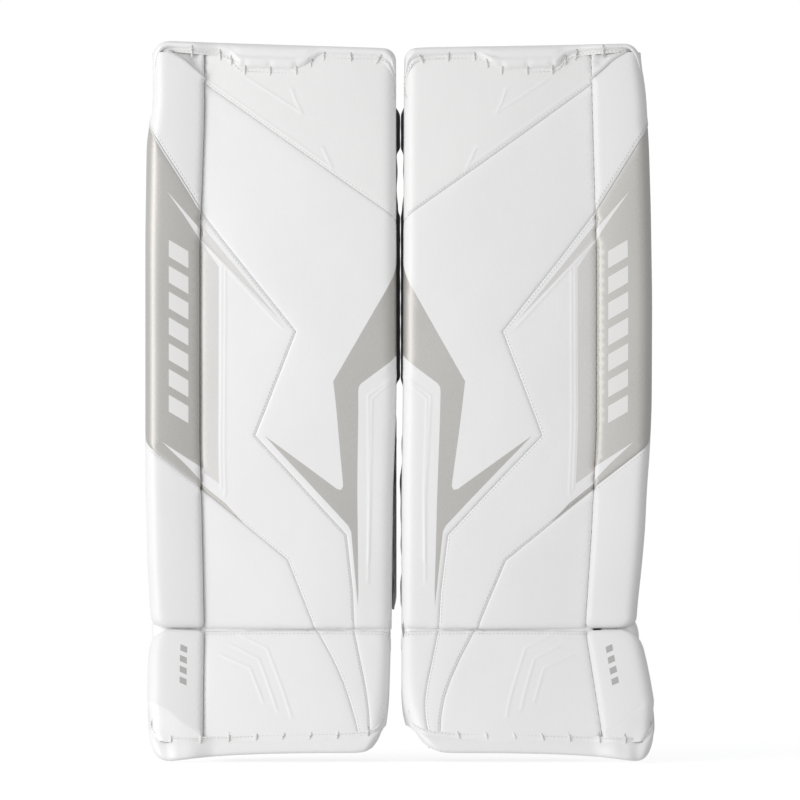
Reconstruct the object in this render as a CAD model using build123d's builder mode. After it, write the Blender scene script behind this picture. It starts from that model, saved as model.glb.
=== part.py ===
from build123d import *

import os
from dataclasses import dataclass
from math import cos, radians, sin, sqrt, tan

# A pair of ice hockey goalie leg pads, standing side by side on their boots.
#
# Millimetres, +Z up, front faces towards -Y, origin at the centre of the pair's footprint on the ice.
# "left" and "right" are the wearer's: the left pad stands at +X. Each pad is drawn at +X, with its outer
# side towards +X and its face plane at Y = 0, then moved forward by FACE_Y and, for the right pad, mirrored.

# ---- driving dimensions of both pads ----
TOTAL_H = 812  # outer top corner above the ice
TOP_DROP = 16  # the top edge falls this much from the outer side to the inner side
ANKLE_Z = 148  # the boot break, where the boot hinges on the shin
KNEE_Z = 560  # the face is straight up to here, then leans back towards the thigh
THIGH_LEAN = 18  # how far the top has leaned back
BOOT_TILT = 25  # the boot's lean forward, degrees from the vertical
CORE_T = 45  # thickness of the pad, square to its face
WALL = 2.5  # synthetic leather over its backing felt
BACK_T = 3  # back panel
ROLL_RISE = 8  # how far the outer roll stands in front of the face
BINDING_H = 20  # height of the padded binding along the top edge
TOE_BINDING_H = 26  # height of the binding along the toe edge
BINDING_RISE = 3  # how far both bindings stand in front of the face
BREAK_GAP = 0.3  # half of the gap at the boot break
ROLL_GAP = 4  # half of the gap between the two rolls at the boot break
GAP = 0.4  # between pieces that only touch
FACE_Y = -42.75  # moves the pad so that the pair's footprint is centred on the origin

# ---- the leg side: stack, wedge, wings and straps ----
BLOCK_X = (4.5, 27, 49, 68)  # the knee stack's three blocks lie between these
STACK_Z = (405, 575)
STACK_Y = 140  # back of the knee stack
WEDGE_X = (4.5, 47)
WEDGE_Z = (168, 240, 401)  # bottom, end of the taper, top
WEDGE_Y = (82, 110)  # back of the wedge at the bottom and above the taper
CHANNEL_X = (72, 196)
CHANNEL_Z = (165, 745)
CHANNEL_T = 10
GUSSET_T = 1.5
WING_X = (199, 211)
CALF_WING_Z = (190, 388)
CALF_WING_Y = 140
KNEE_WING_Z = (412, 566)
KNEE_WING_Y = 126
STRAP_T = 3
TAB_T = 2
HINGE_GAP = 2.5  # strap's pivot line behind the wing that it is sewn to
CALF_STRAP_Z = (262, 312)
KNEE_STRAP_Z = (468, 518)

# ---- the boot's leg side ----
BOOT_WING_T = 10
OUTER_BOOT_WING_X = 204
INNER_BOOT_WING_X = 33
BOOT_WING_Y = 95
BOOT_WING_Z = 118
BOOT_STRAP_Z = (58, 88)
BRIDGE_X = 115
BRIDGE_SIZE = (40, 5, 32)
BRIDGE_Z = 6
LACE_HOLE_R = 5
LACE_HOLE_UP = 11  # lace hole above the bridge's lower edge

# ---- lacing ----
LACE_R = 1.3
LACE_LENGTH = 13
TOP_LACE_X = (25, 56, 87, 102, 116, 148, 176, 190, 204, 234)
SCOOP_X = (88, 186)  # the folded padded scoop in the middle of the top edge
SCOOP_DROP = 36
TOE_LACE_PITCH = 31

WIDE = 700  # longer than any pad, for cutting and trimming bodies
TILT = radians(BOOT_TILT)


@dataclass
class Pad:
    """What differs between the two pads, because their soft boots and rolls are posed a little differently."""

    name: str
    side: int
    inner: tuple  # inner edge at the ankle and at the top
    valley: tuple  # where the face meets the outer roll: at the ankle, at mid height, at the top
    outer: tuple  # outer edge of the roll: the same three heights
    boot_inner: tuple  # inner edge of the boot at the ankle, at its middle and at the toe
    boot_valley: tuple  # at the ankle and at the toe
    boot_outer: tuple  # at the ankle, at the bulge and at the toe
    toe_laces: tuple  # the first one's distance from the pair's middle, and their number


PADS = [
    Pad("right", -1, (8, 4), (220, 222, 221), (280, 286, 278), (11, 13, 26), (220, 222), (279, 284, 281), (39, 8)),
    Pad("left", 1, (4, 4), (209, 221, 215), (268, 284, 269), (4, 8, 38), (209, 229), (270, 286.07, 280), (66, 7)),
]


def top_z(x, drop=0):
    """Height of the sloping top edge at x."""
    return TOTAL_H - TOP_DROP * (280 - x) / 280 - drop


LEAN_R = ((TOTAL_H + 20 - KNEE_Z) ** 2 + THIGH_LEAN**2) / (2 * THIGH_LEAN)  # of the thigh's backward curve


def face_y(z):
    """How far back the thigh's face has leaned at height z."""
    return LEAN_R - sqrt(LEAN_R**2 - max(z - KNEE_Z, 0) ** 2)


def boot_point(along, depth):
    """(Y, Z) of a point of the boot: along runs down its face from the ankle, depth goes in square to it."""
    return (
        -along * sin(TILT) + depth * cos(TILT),
        ANKLE_Z - along * cos(TILT) - depth * sin(TILT),
    )


# ---- sections through the pad, seen from its side (Y, Z) ----
def shin_section(front, back):
    """Sketch of the shin and thigh between two depths behind the face."""
    with BuildSketch(Plane.YZ) as section:
        with BuildLine():
            low, high = ANKLE_Z - 20, TOTAL_H + 20
            rise = Line((front, low), (front, KNEE_Z))
            bend = TangentArc(rise @ 1, (front + THIGH_LEAN, high), tangent=(0, 1))
            top = Line(bend @ 1, (back + THIGH_LEAN, high))
            inside = TangentArc((back, KNEE_Z), top @ 1, tangent=(0, 1))
            fall = Line(inside @ 0, (back, low))
            Line(fall @ 1, rise @ 0)
        make_face()
    return section.sketch


def boot_section(front, back, top=0.0):
    """Sketch of the boot between two depths behind its face, starting top below the ankle."""
    with BuildSketch(Plane.YZ) as section:
        with BuildLine():
            Polyline(
                boot_point(top, front),
                boot_point(WIDE / 2, front),
                boot_point(WIDE / 2, back),
                boot_point(top, back),
                close=True,
            )
        make_face()
    return section.sketch


# ---- outlines of the pad, seen from its front (X, Z) ----
def face_outline(pad, inset=0.0):
    with BuildSketch(Plane.XZ) as outline:
        with BuildLine():
            low = ANKLE_Z + BREAK_GAP
            inner_low, inner_top = (pad.inner[0], low), (pad.inner[1], top_z(pad.inner[1], BINDING_H))
            valley_top = (pad.valley[2], top_z(pad.valley[2], BINDING_H))
            Line((pad.valley[0], low), inner_low)
            Line(inner_low, inner_top)
            Line(inner_top, valley_top)
            ThreePointArc(valley_top, (pad.valley[1], KNEE_Z - 80), (pad.valley[0], low))
        make_face()
        if inset:
            offset(amount=-inset)
    return outline.sketch


def roll_outline(pad, inset=0.0):
    with BuildSketch(Plane.XZ) as outline:
        with BuildLine():
            low = ANKLE_Z + ROLL_GAP
            valley_low, outer_low = (pad.valley[0] + GAP, low), (pad.outer[0], low)
            valley_top = (pad.valley[2] + GAP, top_z(pad.valley[2], BINDING_H))
            outer_top = (pad.outer[2], top_z(pad.outer[2], BINDING_H))
            Line(valley_low, outer_low)
            ThreePointArc(outer_low, (pad.outer[1], KNEE_Z - 80), outer_top)
            Line(outer_top, valley_top)
            ThreePointArc(valley_top, (pad.valley[1] + GAP, KNEE_Z - 80), valley_low)
        make_face()
        fillet(outline.vertices().group_by(Axis.Y)[0].sort_by(Axis.X)[-1], 14)
        if inset:
            offset(amount=-inset)
    return outline.sketch


def boot_outline(pad, inset=0.0):
    with BuildSketch(Plane.XZ) as outline:
        with BuildLine():
            low, high = TOE_BINDING_H + BREAK_GAP, ANKLE_Z - BREAK_GAP
            Polyline(
                (pad.boot_valley[0], high + inset),
                (pad.boot_inner[0], high + inset),
                (pad.boot_inner[1], ANKLE_Z / 2),
                ((pad.boot_inner[1] + pad.boot_inner[2]) / 2, low),
                (pad.boot_valley[1], low),
                close=True,
            )
        make_face()
        if inset:
            offset(amount=-inset)
    return outline.sketch


def boot_roll_outline(pad, inset=0.0):
    with BuildSketch(Plane.XZ) as outline:
        with BuildLine():
            low, high = TOE_BINDING_H + BREAK_GAP, ANKLE_Z
            Polyline(
                (pad.boot_valley[0] + GAP, high),
                (pad.boot_valley[1] + GAP, low),
                ((pad.boot_outer[1] + pad.boot_outer[2]) / 2, low),
                (pad.boot_outer[1], ANKLE_Z / 2.5),
                (pad.boot_outer[0], high),
                close=True,
            )
        make_face()
        fillet(outline.vertices().group_by(Axis.Y)[-1].sort_by(Axis.X)[-1], 16)
        if inset:
            offset(amount=-inset)
    return outline.sketch


def toe_outline(pad):
    with BuildSketch(Plane.XZ) as outline:
        with BuildLine():
            Polyline(
                ((pad.boot_inner[1] + pad.boot_inner[2]) / 2, TOE_BINDING_H),
                (pad.boot_inner[2] + 12, 0),
                (pad.boot_outer[2] - 6, 0),
                (pad.boot_outer[2], TOE_BINDING_H / 3),
                ((pad.boot_outer[1] + pad.boot_outer[2]) / 2, TOE_BINDING_H),
                close=True,
            )
        make_face()
    return outline.sketch


def trimmed(section, outline):
    """The solid that has this section from the side and this outline from the front."""
    with BuildPart() as piece:
        extrude(section, amount=WIDE, both=True)
        extrude(outline, amount=WIDE, both=True, mode=Mode.INTERSECT)
    return piece.part


def rounded_front(part, radius):
    """Rounds the upright edges along the front of a slab."""
    with BuildPart() as piece:
        add(part)
        front = piece.faces().filter_by(lambda f: f.normal_at().Y < -0.5).edges()
        upright = front.filter_by(lambda e: abs((e @ 1 - e @ 0).Z) > WIDE / 12 and e.length > WIDE / 12)
        fillet(upright, radius)
    return piece.part


def hollowed(outside, inside):
    """The cover that is left when its filling is taken out of it."""
    with BuildPart() as cover:
        add(outside)
        add(inside, mode=Mode.SUBTRACT)
    return cover.part


# ---- shin: face, roll, bindings and back ----
def shin_face(pad):
    outside = rounded_front(trimmed(shin_section(0, CORE_T), face_outline(pad)), 7)
    inside = trimmed(shin_section(WALL, CORE_T + 1), face_outline(pad, WALL))
    core = trimmed(shin_section(WALL, CORE_T - BACK_T), face_outline(pad, WALL))
    back = trimmed(shin_section(CORE_T - BACK_T, CORE_T), face_outline(pad, WALL))
    return {"face_cover": hollowed(outside, inside), "shin_core": core, "back_panel": back}


def shin_roll(pad):
    outside = rounded_front(trimmed(shin_section(-ROLL_RISE, CORE_T), roll_outline(pad)), 7)
    core = trimmed(shin_section(WALL - ROLL_RISE, CORE_T - WALL), roll_outline(pad, WALL))
    return {"roll_cover": hollowed(outside, core), "roll_core": core}


def top_binding(pad):
    """Padded binding over the top edge, with the scoop that folds down over the face."""
    with BuildPart() as binding:
        extrude(shin_section(-BINDING_RISE, CORE_T + BINDING_RISE), amount=WIDE, both=True)
        with BuildSketch(Plane.XZ):
            with BuildLine():
                inner, outer = pad.inner[1], pad.outer[2]
                Polyline(
                    (inner, top_z(inner, BINDING_H - GAP)),
                    (inner, top_z(inner)),
                    (outer, top_z(outer)),
                    (outer, top_z(outer, BINDING_H - GAP)),
                    close=True,
                )
            face = make_face()
            fillet(face.vertices().sort_by(Axis.Y)[-2:], BINDING_H * 0.7)
        extrude(amount=WIDE, both=True, mode=Mode.INTERSECT)
        along_top = binding.edges().filter_by(lambda e: e.length > WIDE / 4).group_by(Axis.Z)[-1]
        fillet(along_top, BINDING_H * 0.5)
        add(scoop())
    return {"top_binding": binding.part}


def scoop_y():
    """Back of the scoop, just in front of the face at the scoop's lower edge."""
    return face_y(top_z(sum(SCOOP_X) / 2, SCOOP_DROP)) - GAP


def scoop():
    """Flat padded lip of the top binding in front of the face."""
    with BuildPart() as lip:
        with BuildSketch(Plane.XZ.offset(-scoop_y())):
            with BuildLine():
                middle = sum(SCOOP_X) / 2
                low, high = top_z(middle, SCOOP_DROP), top_z(middle, BINDING_H - 8)
                Polyline(
                    (SCOOP_X[0] - 14, high),
                    (SCOOP_X[0] + 10, low),
                    (SCOOP_X[1] - 10, low),
                    (SCOOP_X[1] + 14, high),
                    close=True,
                )
            face = make_face()
            fillet(face.vertices().group_by(Axis.Y)[0], 8)
        extrude(amount=ROLL_RISE)
    return lip.part


def lacing(places, lean):
    """Lace stitches, short upright rods, at (x, y, z) places and leaning forward by lean degrees."""
    with BuildPart() as laces:
        with Locations(*[Location(place, (lean, 0, 0)) for place in places]):
            Cylinder(LACE_R, LACE_LENGTH)
    return laces.part


def top_laces(pad):
    """Stitches that hold the binding and its scoop down on the face and the roll."""
    places = []
    for x in TOP_LACE_X:
        over_scoop = SCOOP_X[0] - 14 < x < SCOOP_X[1] + 14
        z = top_z(x, SCOOP_DROP if over_scoop else BINDING_H)
        rise = ROLL_RISE if x > pad.valley[2] - LACE_R - GAP else BINDING_RISE
        y = scoop_y() - ROLL_RISE if over_scoop else face_y(z - LACE_LENGTH / 2) - rise
        places.append((x, y - LACE_R - GAP, z))
    return lacing(places, 0)


# ---- shin: the leg side ----
def block(x, y, z, radius=4):
    """Foam block between two values along each axis, with rounded upright edges."""
    with BuildPart() as foam:
        with Locations(((x[0] + x[1]) / 2, (y[0] + y[1]) / 2, (z[0] + z[1]) / 2)):
            Box(x[1] - x[0], y[1] - y[0], z[1] - z[0])
        fillet(foam.edges().filter_by(Axis.Z).group_by(Axis.Y)[-1], radius)
    return foam.part


def knee_stack():
    depth = (CORE_T + GAP, STACK_Y)
    names = ("knee_slide_block", "knee_stack_foam", "knee_pad")
    return {
        name: block((low + GAP / 2, high - GAP / 2), depth, STACK_Z)
        for name, low, high in zip(names, BLOCK_X, BLOCK_X[1:])
    }


def calf_wedge():
    with BuildPart() as wedge:
        with BuildSketch(Plane.YZ.offset(WEDGE_X[0])):
            with BuildLine():
                front = CORE_T + GAP
                Polyline(
                    (front, WEDGE_Z[0]),
                    (WEDGE_Y[0], WEDGE_Z[0]),
                    (WEDGE_Y[1], WEDGE_Z[1]),
                    (WEDGE_Y[1], WEDGE_Z[2]),
                    (front, WEDGE_Z[2]),
                    close=True,
                )
            make_face()
        extrude(amount=WEDGE_X[1] - WEDGE_X[0])
        fillet(wedge.edges().filter_by(Axis.Z).group_by(Axis.Y)[-1], 6)
    return {"calf_wedge": wedge.part}


def leg_channel():
    with BuildPart() as channel:
        extrude(shin_section(CORE_T + GAP, CORE_T + GAP + CHANNEL_T), amount=WIDE, both=True)
        with BuildSketch(Plane.XZ):
            with Locations((sum(CHANNEL_X) / 2, sum(CHANNEL_Z) / 2)):
                RectangleRounded(CHANNEL_X[1] - CHANNEL_X[0], CHANNEL_Z[1] - CHANNEL_Z[0], 30)
        extrude(amount=WIDE, both=True, mode=Mode.INTERSECT)
    return {"leg_channel_pad": channel.part}


def inner_gusset(pad):
    """Wear strip along the inner edge, where the pad slides on the ice."""
    length = KNEE_Z - ANKLE_Z - 30
    with BuildPart() as strip:
        with Locations((min(pad.inner) - GUSSET_T / 2 - GAP / 2, CORE_T / 2 + 5, ANKLE_Z + 15 + length / 2)):
            Box(GUSSET_T, CORE_T - 18, length)
        fillet(strip.edges().filter_by(Axis.X), 8)
    return {"inner_gusset": strip.part}


def wing(x, y, z, corner):
    """Stiff padded flap that stands back from the pad, with its two back corners rounded."""
    with BuildPart() as flap:
        with BuildSketch(Plane.YZ.offset(x[0])):
            with Locations(((y[0] + y[1]) / 2, (z[0] + z[1]) / 2)):
                outline = Rectangle(y[1] - y[0], z[1] - z[0])
            fillet(outline.vertices().group_by(Axis.X)[-1], corner)
        extrude(amount=x[1] - x[0])
    return flap.part


def strap(path_points, z, thickness=STRAP_T):
    """Flat band on edge along an arc and a straight landing, given as start, middle, end of arc and end of band."""
    start, middle, landing, end = path_points
    with BuildPart() as band:
        with BuildSketch(Plane.XY.offset(z[0])):
            with BuildLine():
                ThreePointArc(start, middle, landing)
                Line(landing, end)
            trace(line_width=thickness)
        extrude(amount=z[1] - z[0])
    return band.part


def strap_tab(x, y, z):
    """Grip tab and its hook patch on the outside of a strap's end."""
    with BuildPart() as tab:
        with Locations(((x[0] + x[1]) / 2, y + TAB_T / 2, (z[0] + z[1]) / 2)):
            Box(x[1] - x[0], TAB_T, z[1] - z[0])
        fillet(tab.edges().filter_by(Axis.Y), 5)
    return tab.part


def strap_set(name, pivot_y, landing_y, landing_x, z, bulge):
    """A strap from the outer wing's back edge to its landing on the inner side, and its tab."""
    pivot_x = sum(WING_X) / 2
    middle_x = (pivot_x + landing_x) / 2
    line_y = landing_y + GAP + STRAP_T / 2
    points = ((pivot_x, pivot_y), (middle_x, bulge), (landing_x + 4, line_y), (9, line_y))
    tab_y = line_y + STRAP_T / 2 + GAP
    return {
        f"{name}_strap": strap(points, z),
        f"{name}_strap_tab": strap_tab((10, 44), tab_y, (z[0] + 4, z[1] - 4)),
    }


def wings_and_straps():
    front = CORE_T + 1
    made = {
        "calf_wing": wing(WING_X, (front, CALF_WING_Y), CALF_WING_Z, 30),
        "knee_wing": wing(WING_X, (front, KNEE_WING_Y), KNEE_WING_Z, 25),
    }
    calf_pivot, knee_pivot = CALF_WING_Y + HINGE_GAP, KNEE_WING_Y + HINGE_GAP
    made |= strap_set("calf", calf_pivot, WEDGE_Y[1], WEDGE_X[1], CALF_STRAP_Z, calf_pivot + 12)
    made |= strap_set("knee", knee_pivot, STACK_Y, BLOCK_X[3], KNEE_STRAP_Z, STACK_Y + 12)
    return made


# ---- boot ----
def boot_face(pad):
    outside = trimmed(boot_section(0, CORE_T), boot_outline(pad))
    inside = trimmed(boot_section(WALL, CORE_T + 1, WALL), boot_outline(pad, WALL))
    core = trimmed(boot_section(WALL, CORE_T, WALL), boot_outline(pad, WALL))
    return {"boot_cover": hollowed(outside, inside), "boot_core": core}


def boot_roll(pad):
    section = boot_section(-ROLL_RISE, CORE_T, ROLL_GAP - 1)
    outside = trimmed(section, boot_roll_outline(pad))
    inner_section = boot_section(WALL - ROLL_RISE, CORE_T - WALL, ROLL_GAP - 1 + WALL)
    core = trimmed(inner_section, boot_roll_outline(pad, WALL))
    return {"boot_roll_cover": hollowed(outside, core), "boot_roll_core": core}


def toe_edge(pad):
    section = boot_section(-BINDING_RISE, CORE_T)
    binding = trimmed(section, toe_outline(pad))
    along = (ANKLE_Z - TOE_BINDING_H) / cos(TILT)
    first, count = pad.toe_laces
    places = []
    for x in [first + i * TOE_LACE_PITCH for i in range(count)]:
        rise = ROLL_RISE if x > pad.boot_valley[1] - LACE_R - GAP else BINDING_RISE
        y, z = boot_point(along, -rise - LACE_R - GAP)
        places.append((x, y, z))
    return {"toe_binding": binding, "toe_laces": lacing(places, -BOOT_TILT)}


def boot_wing(x):
    """Flap beside the skate: its front edge follows the back of the leaning boot, its foot stands on the ice."""
    back_at = CORE_T / cos(TILT) + 1
    slope = tan(TILT)
    with BuildPart() as flap:
        with BuildSketch(Plane.YZ.offset(x - BOOT_WING_T / 2)):
            with BuildLine():
                Polyline(
                    (back_at - ANKLE_Z * slope, 0),
                    (BOOT_WING_Y, 0),
                    (BOOT_WING_Y, BOOT_WING_Z),
                    (back_at - (ANKLE_Z - BOOT_WING_Z) * slope, BOOT_WING_Z),
                    close=True,
                )
            outline = make_face()
            fillet(outline.vertices().group_by(Axis.X)[-1].sort_by(Axis.Y)[-1], 24)
        extrude(amount=BOOT_WING_T)
    return flap.part


def toe_bridge():
    """Tab behind the toe that the skate's toe lace is tied through."""
    width, thick, height = BRIDGE_SIZE
    with BuildPart() as tab:
        with Locations((BRIDGE_X, 4, BRIDGE_Z + height / 2)):
            Box(width, thick, height)
        fillet(tab.edges().filter_by(Axis.Y).group_by(Axis.Z)[0], 9)
        with BuildSketch(Plane.XZ.offset(-WIDE / 2)):
            with Locations((BRIDGE_X, BRIDGE_Z + LACE_HOLE_UP)):
                Circle(LACE_HOLE_R)
        extrude(amount=WIDE, mode=Mode.SUBTRACT)
    return tab.part


def boot_leg_side():
    pivot_y = BOOT_WING_Y + HINGE_GAP
    points = (
        (OUTER_BOOT_WING_X, pivot_y),
        (BRIDGE_X, pivot_y + 14),
        (INNER_BOOT_WING_X + 12, pivot_y),
        (INNER_BOOT_WING_X - 14, pivot_y),
    )
    tab_x = (INNER_BOOT_WING_X - 13, INNER_BOOT_WING_X + 8)
    tab_z = (BOOT_STRAP_Z[0] + 2, BOOT_STRAP_Z[1] - 2)
    return {
        "boot_outer_wing": boot_wing(OUTER_BOOT_WING_X),
        "boot_inner_wing": boot_wing(INNER_BOOT_WING_X),
        "boot_strap": strap(points, BOOT_STRAP_Z),
        "boot_strap_tab": strap_tab(tab_x, pivot_y + STRAP_T / 2 + GAP, tab_z),
        "toe_bridge": toe_bridge(),
    }


def pad_pieces(pad):
    """Every piece of one pad, by name, in the place where it is drawn."""
    pieces = shin_face(pad) | shin_roll(pad) | top_binding(pad)
    pieces["top_laces"] = top_laces(pad)
    pieces |= knee_stack() | calf_wedge() | leg_channel() | inner_gusset(pad) | wings_and_straps()
    pieces |= boot_face(pad) | boot_roll(pad) | toe_edge(pad) | boot_leg_side()
    return pieces


os.makedirs("parts", exist_ok=True)
for pad in PADS:
    for name, piece in pad_pieces(pad).items():
        with BuildPart() as placed:
            with Locations((0, FACE_Y, 0)):
                add(piece)
            if pad.side < 0:
                mirror(about=Plane.YZ, mode=Mode.REPLACE)
        placed.part.label = f"{pad.name}_{name}"
        export_step(placed.part, f"parts/{placed.part.label}.step")
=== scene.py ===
import math

import bmesh
import bpy
import numpy as np
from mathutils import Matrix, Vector
from mathutils.bvhtree import BVHTree
from mathutils.geometry import delaunay_2d_cdt
from mathutils.kdtree import KDTree


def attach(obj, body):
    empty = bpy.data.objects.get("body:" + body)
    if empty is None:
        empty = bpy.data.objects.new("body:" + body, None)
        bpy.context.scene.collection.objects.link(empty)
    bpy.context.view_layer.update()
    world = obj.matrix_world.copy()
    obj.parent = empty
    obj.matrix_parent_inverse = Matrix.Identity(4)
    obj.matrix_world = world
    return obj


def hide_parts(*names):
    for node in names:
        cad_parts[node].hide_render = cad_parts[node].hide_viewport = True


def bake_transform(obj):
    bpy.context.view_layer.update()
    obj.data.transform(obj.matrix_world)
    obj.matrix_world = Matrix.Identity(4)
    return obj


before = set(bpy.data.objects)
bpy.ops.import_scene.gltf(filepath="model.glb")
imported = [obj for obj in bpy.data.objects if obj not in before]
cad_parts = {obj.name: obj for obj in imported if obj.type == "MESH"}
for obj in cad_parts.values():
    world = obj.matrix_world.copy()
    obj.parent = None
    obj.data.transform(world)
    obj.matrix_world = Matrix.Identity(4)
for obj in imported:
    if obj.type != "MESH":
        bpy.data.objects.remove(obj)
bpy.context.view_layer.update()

# ---------------------------------------------------------------- dimensions, in millimetres
# A pad is drawn with its outer side towards +X and its face plane at Y = 0, then mirrored for the right leg.
FACE_Y = -42.75
ANKLE = 148.0
KNEE = 560.0
LEAN = 18.0
LEAN_R = ((832 - KNEE) ** 2 + LEAN**2) / (2 * LEAN)
TILT = math.radians(25)
DEPTH = 45.0
INNER, VALLEY, OUTER = 4.0, 221.0, 285.0  # nominal lines that the graphics are drawn against
FACE_R, VALLEY_R, CREASE_R = 13.0, 3.0, 5.0  # radii of the face's inner edge, of its valley and of the crease
SIDE_END = INNER + FACE_R - FACE_R * math.pi / 2 - (DEPTH - FACE_R)  # where the cloth ends behind the inner edge
ROLL_W, END_R, ROLL_RISE = 62.0, 6.0, 6.5  # an outer roll's nominal width, end radius and height over the face
ROLL_GAP = 1.3  # from the ankle to the end of either roll
MM = 0.001


def track(*pairs):
    """A dimension that changes with height, from (z, value) pairs, with its corners softened."""
    zs, vs = zip(*pairs)
    return lambda z: sum(np.interp(np.asarray(z, float) + d, zs, vs) for d in (-14, -7, 0, 7, 14)) / 5


PADS = {
    "right": {
        "side": -1,
        "inner": track((148, 10), (300, 8.5), (400, 4.5), (790, 5)),
        "valley": track((148, 221.3), (283, 224), (351, 226.3), (590, 226.3), (654, 223.4), (722, 221.3),
                        (790, 221.2)),
        "outer": track((148, 280), (217, 284.5), (320, 287), (592, 287), (700, 285.5), (738, 278.5), (790, 279.5)),
        "boot_inner": track((0, 36), (8, 33), (25, 24), (40, 19), (60, 16), (81, 13), (148, 11)),
        "boot_valley": track((0, 222), (148, 221.3)),
        "boot_outer": track((0, 276), (14, 281), (60, 284), (120, 284), (148, 279)),
        "top": ((0, 801), (24, 802.5), (262, 810), (290, 810)),
        "toe_first": 39, "toe_count": 8,
    },
    "left": {
        "side": 1,
        "inner": track((148, 1), (300, 1), (400, 2.5), (790, 4)),
        "valley": track((154, 208.5), (250, 215), (373, 221), (575, 221), (620, 219.5), (789, 215)),
        "outer": track((148, 265), (171, 266), (216, 271), (260, 275), (305, 277), (350, 280.5), (400, 282.5),
                       (520, 283), (620, 281.5), (690, 279.5), (755, 276), (790, 270)),
        "boot_inner": track((0, 50), (8, 36), (14, 29), (25, 21), (36, 15), (58, 5), (81, 1), (148, 1)),
        "boot_valley": track((0, 231), (148, 208.5)),
        "boot_outer": track((0, 279), (20, 283), (58, 286), (80, 283), (103, 279), (126, 274), (148, 268)),
        "top": ((0, 801), (24, 803), (262, 807), (290, 807)),
        "toe_first": 66, "toe_count": 7,
    },
}


# ---------------------------------------------------------------- small tools
def lean(z):
    return LEAN_R - np.sqrt(LEAN_R**2 - np.maximum(np.asarray(z, float) - KNEE, 0) ** 2)


def over_edge(t, r):
    """Rounds an edge: t runs in from the edge along the cloth, and this gives how far in and how deep it lies."""
    a = np.clip((r - t) / r, 0, math.pi / 2)
    inside = np.where(t >= r, t, r - r * np.sin(a))
    depth = np.where(t >= r, 0, r - r * np.cos(a)) + np.maximum(r - t - r * math.pi / 2, 0)
    return inside, depth


def along_cloth(inside, r):
    """The inverse of over_edge for a point seen from the front; past the edge it goes on down the side."""
    inside = np.asarray(inside, float)
    a = np.arcsin(np.clip((r - inside) / r, 0, 1))
    return np.where(inside >= r, inside, r - r * a) + np.minimum(inside, 0)


def resample(line, step):
    line = np.asarray(line, float)
    out = [line[:1]]
    for a, b in zip(line, line[1:]):
        n = max(1, int(round(np.linalg.norm(b - a) / step)))
        out.append(a + (b - a) * (np.arange(1, n + 1) / n)[:, None])
    return np.concatenate(out)


def softened(line, rounds=3):
    """Rounds the corners of a polyline by cutting them."""
    line = np.asarray(line, float)
    for _ in range(rounds):
        a, b = line[:-1], line[1:]
        cut = np.empty((2 * len(a), line.shape[1]))
        cut[0::2], cut[1::2] = a * 0.75 + b * 0.25, a * 0.25 + b * 0.75
        line = np.concatenate([line[:1], cut[1:-1], line[-1:]])
    return line


def looped(ring):
    """An outline with its first point again at its end."""
    ring = np.asarray(ring, float)
    return np.vstack([ring, ring[:1]])


def sideways(line):
    """Unit vectors to the left of a flat polyline at each of its points."""
    step = np.gradient(line, axis=0)
    side = np.stack([-step[:, 1], step[:, 0]], axis=1)
    return side / np.maximum(np.linalg.norm(side, axis=1, keepdims=True), 1e-9)


def run_along(points):
    """How far along a line of points each of them lies."""
    return np.concatenate([[0], np.cumsum(np.linalg.norm(np.diff(points, axis=0), axis=1))])


def distance(points, line):
    """Distance of every point to a polyline."""
    best = np.full(len(points), 1e9)
    for a, b in zip(line, line[1:]):
        ab = b - a
        t = np.clip(((points - a) @ ab) / max(ab @ ab, 1e-9), 0, 1)
        best = np.minimum(best, np.linalg.norm(points - a - t[:, None] * ab, axis=1))
    return best


def within(points, ring):
    """Which points lie inside a closed outline."""
    inside = np.zeros(len(points), bool)
    x, y = points[:, 0], points[:, 1]
    for (ax, ay), (bx, by) in zip(ring, np.roll(ring, -1, axis=0)):
        cross = (ay > y) != (by > y)
        inside ^= cross & (x < (bx - ax) * (y - ay) / (by - ay + 1e-12) + ax)
    return inside


def make(name, points, faces, materials, slots=None, closed=False):
    """A mesh object from points in millimetres of the row frame."""
    mesh = bpy.data.meshes.new(name)
    mesh.from_pydata([tuple(p) for p in np.asarray(points) * MM], [], [tuple(int(i) for i in f) for f in faces])
    for m in materials:
        mesh.materials.append(m)
    if slots is not None:
        mesh.polygons.foreach_set("material_index", np.asarray(slots, np.int32))
    mesh.update()
    if closed:
        bm = bmesh.new()
        bm.from_mesh(mesh)
        bmesh.ops.recalc_face_normals(bm, faces=bm.faces)
        bm.to_mesh(mesh)
        bm.free()
    mesh.polygons.foreach_set("use_smooth", np.ones(len(mesh.polygons), bool))
    obj = bpy.data.objects.new(name, mesh)
    bpy.context.scene.collection.objects.link(obj)
    return obj


def grid_faces(rows, cols, closed=False):
    wrap = cols if closed else cols - 1
    return [(r * cols + c, r * cols + (c + 1) % cols, (r + 1) * cols + (c + 1) % cols, (r + 1) * cols + c)
            for r in range(rows - 1) for c in range(wrap)]


def end_faces(rows, cols):
    """The faces that close the first and the last row of a grid."""
    return [tuple(range(cols)), tuple((rows - 1) * cols + i for i in range(cols))]


def soften(obj, levels):
    modifier = obj.modifiers.new("soften", "SUBSURF")
    modifier.levels = modifier.render_levels = levels


def placed(pad, x, y, z):
    """Points of a pad's own drawing, put in the row frame."""
    return np.stack([pad["side"] * np.asarray(x, float), np.asarray(y, float) + FACE_Y, np.asarray(z, float)], axis=-1)


# ---------------------------------------------------------------- the pads' surfaces
def wave(x, z, seed):
    """Slow, shallow unevenness of leather over foam."""
    return (np.sin(x / 31 + seed) * np.sin(z / 47 + 2 * seed) + 0.6 * np.sin(x / 17 - z / 29 + seed)) * 0.22


def faced(surface, sign):
    """Says which way a surface's normals turn to face out of the pad."""
    surface.sign = sign
    return surface


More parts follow.
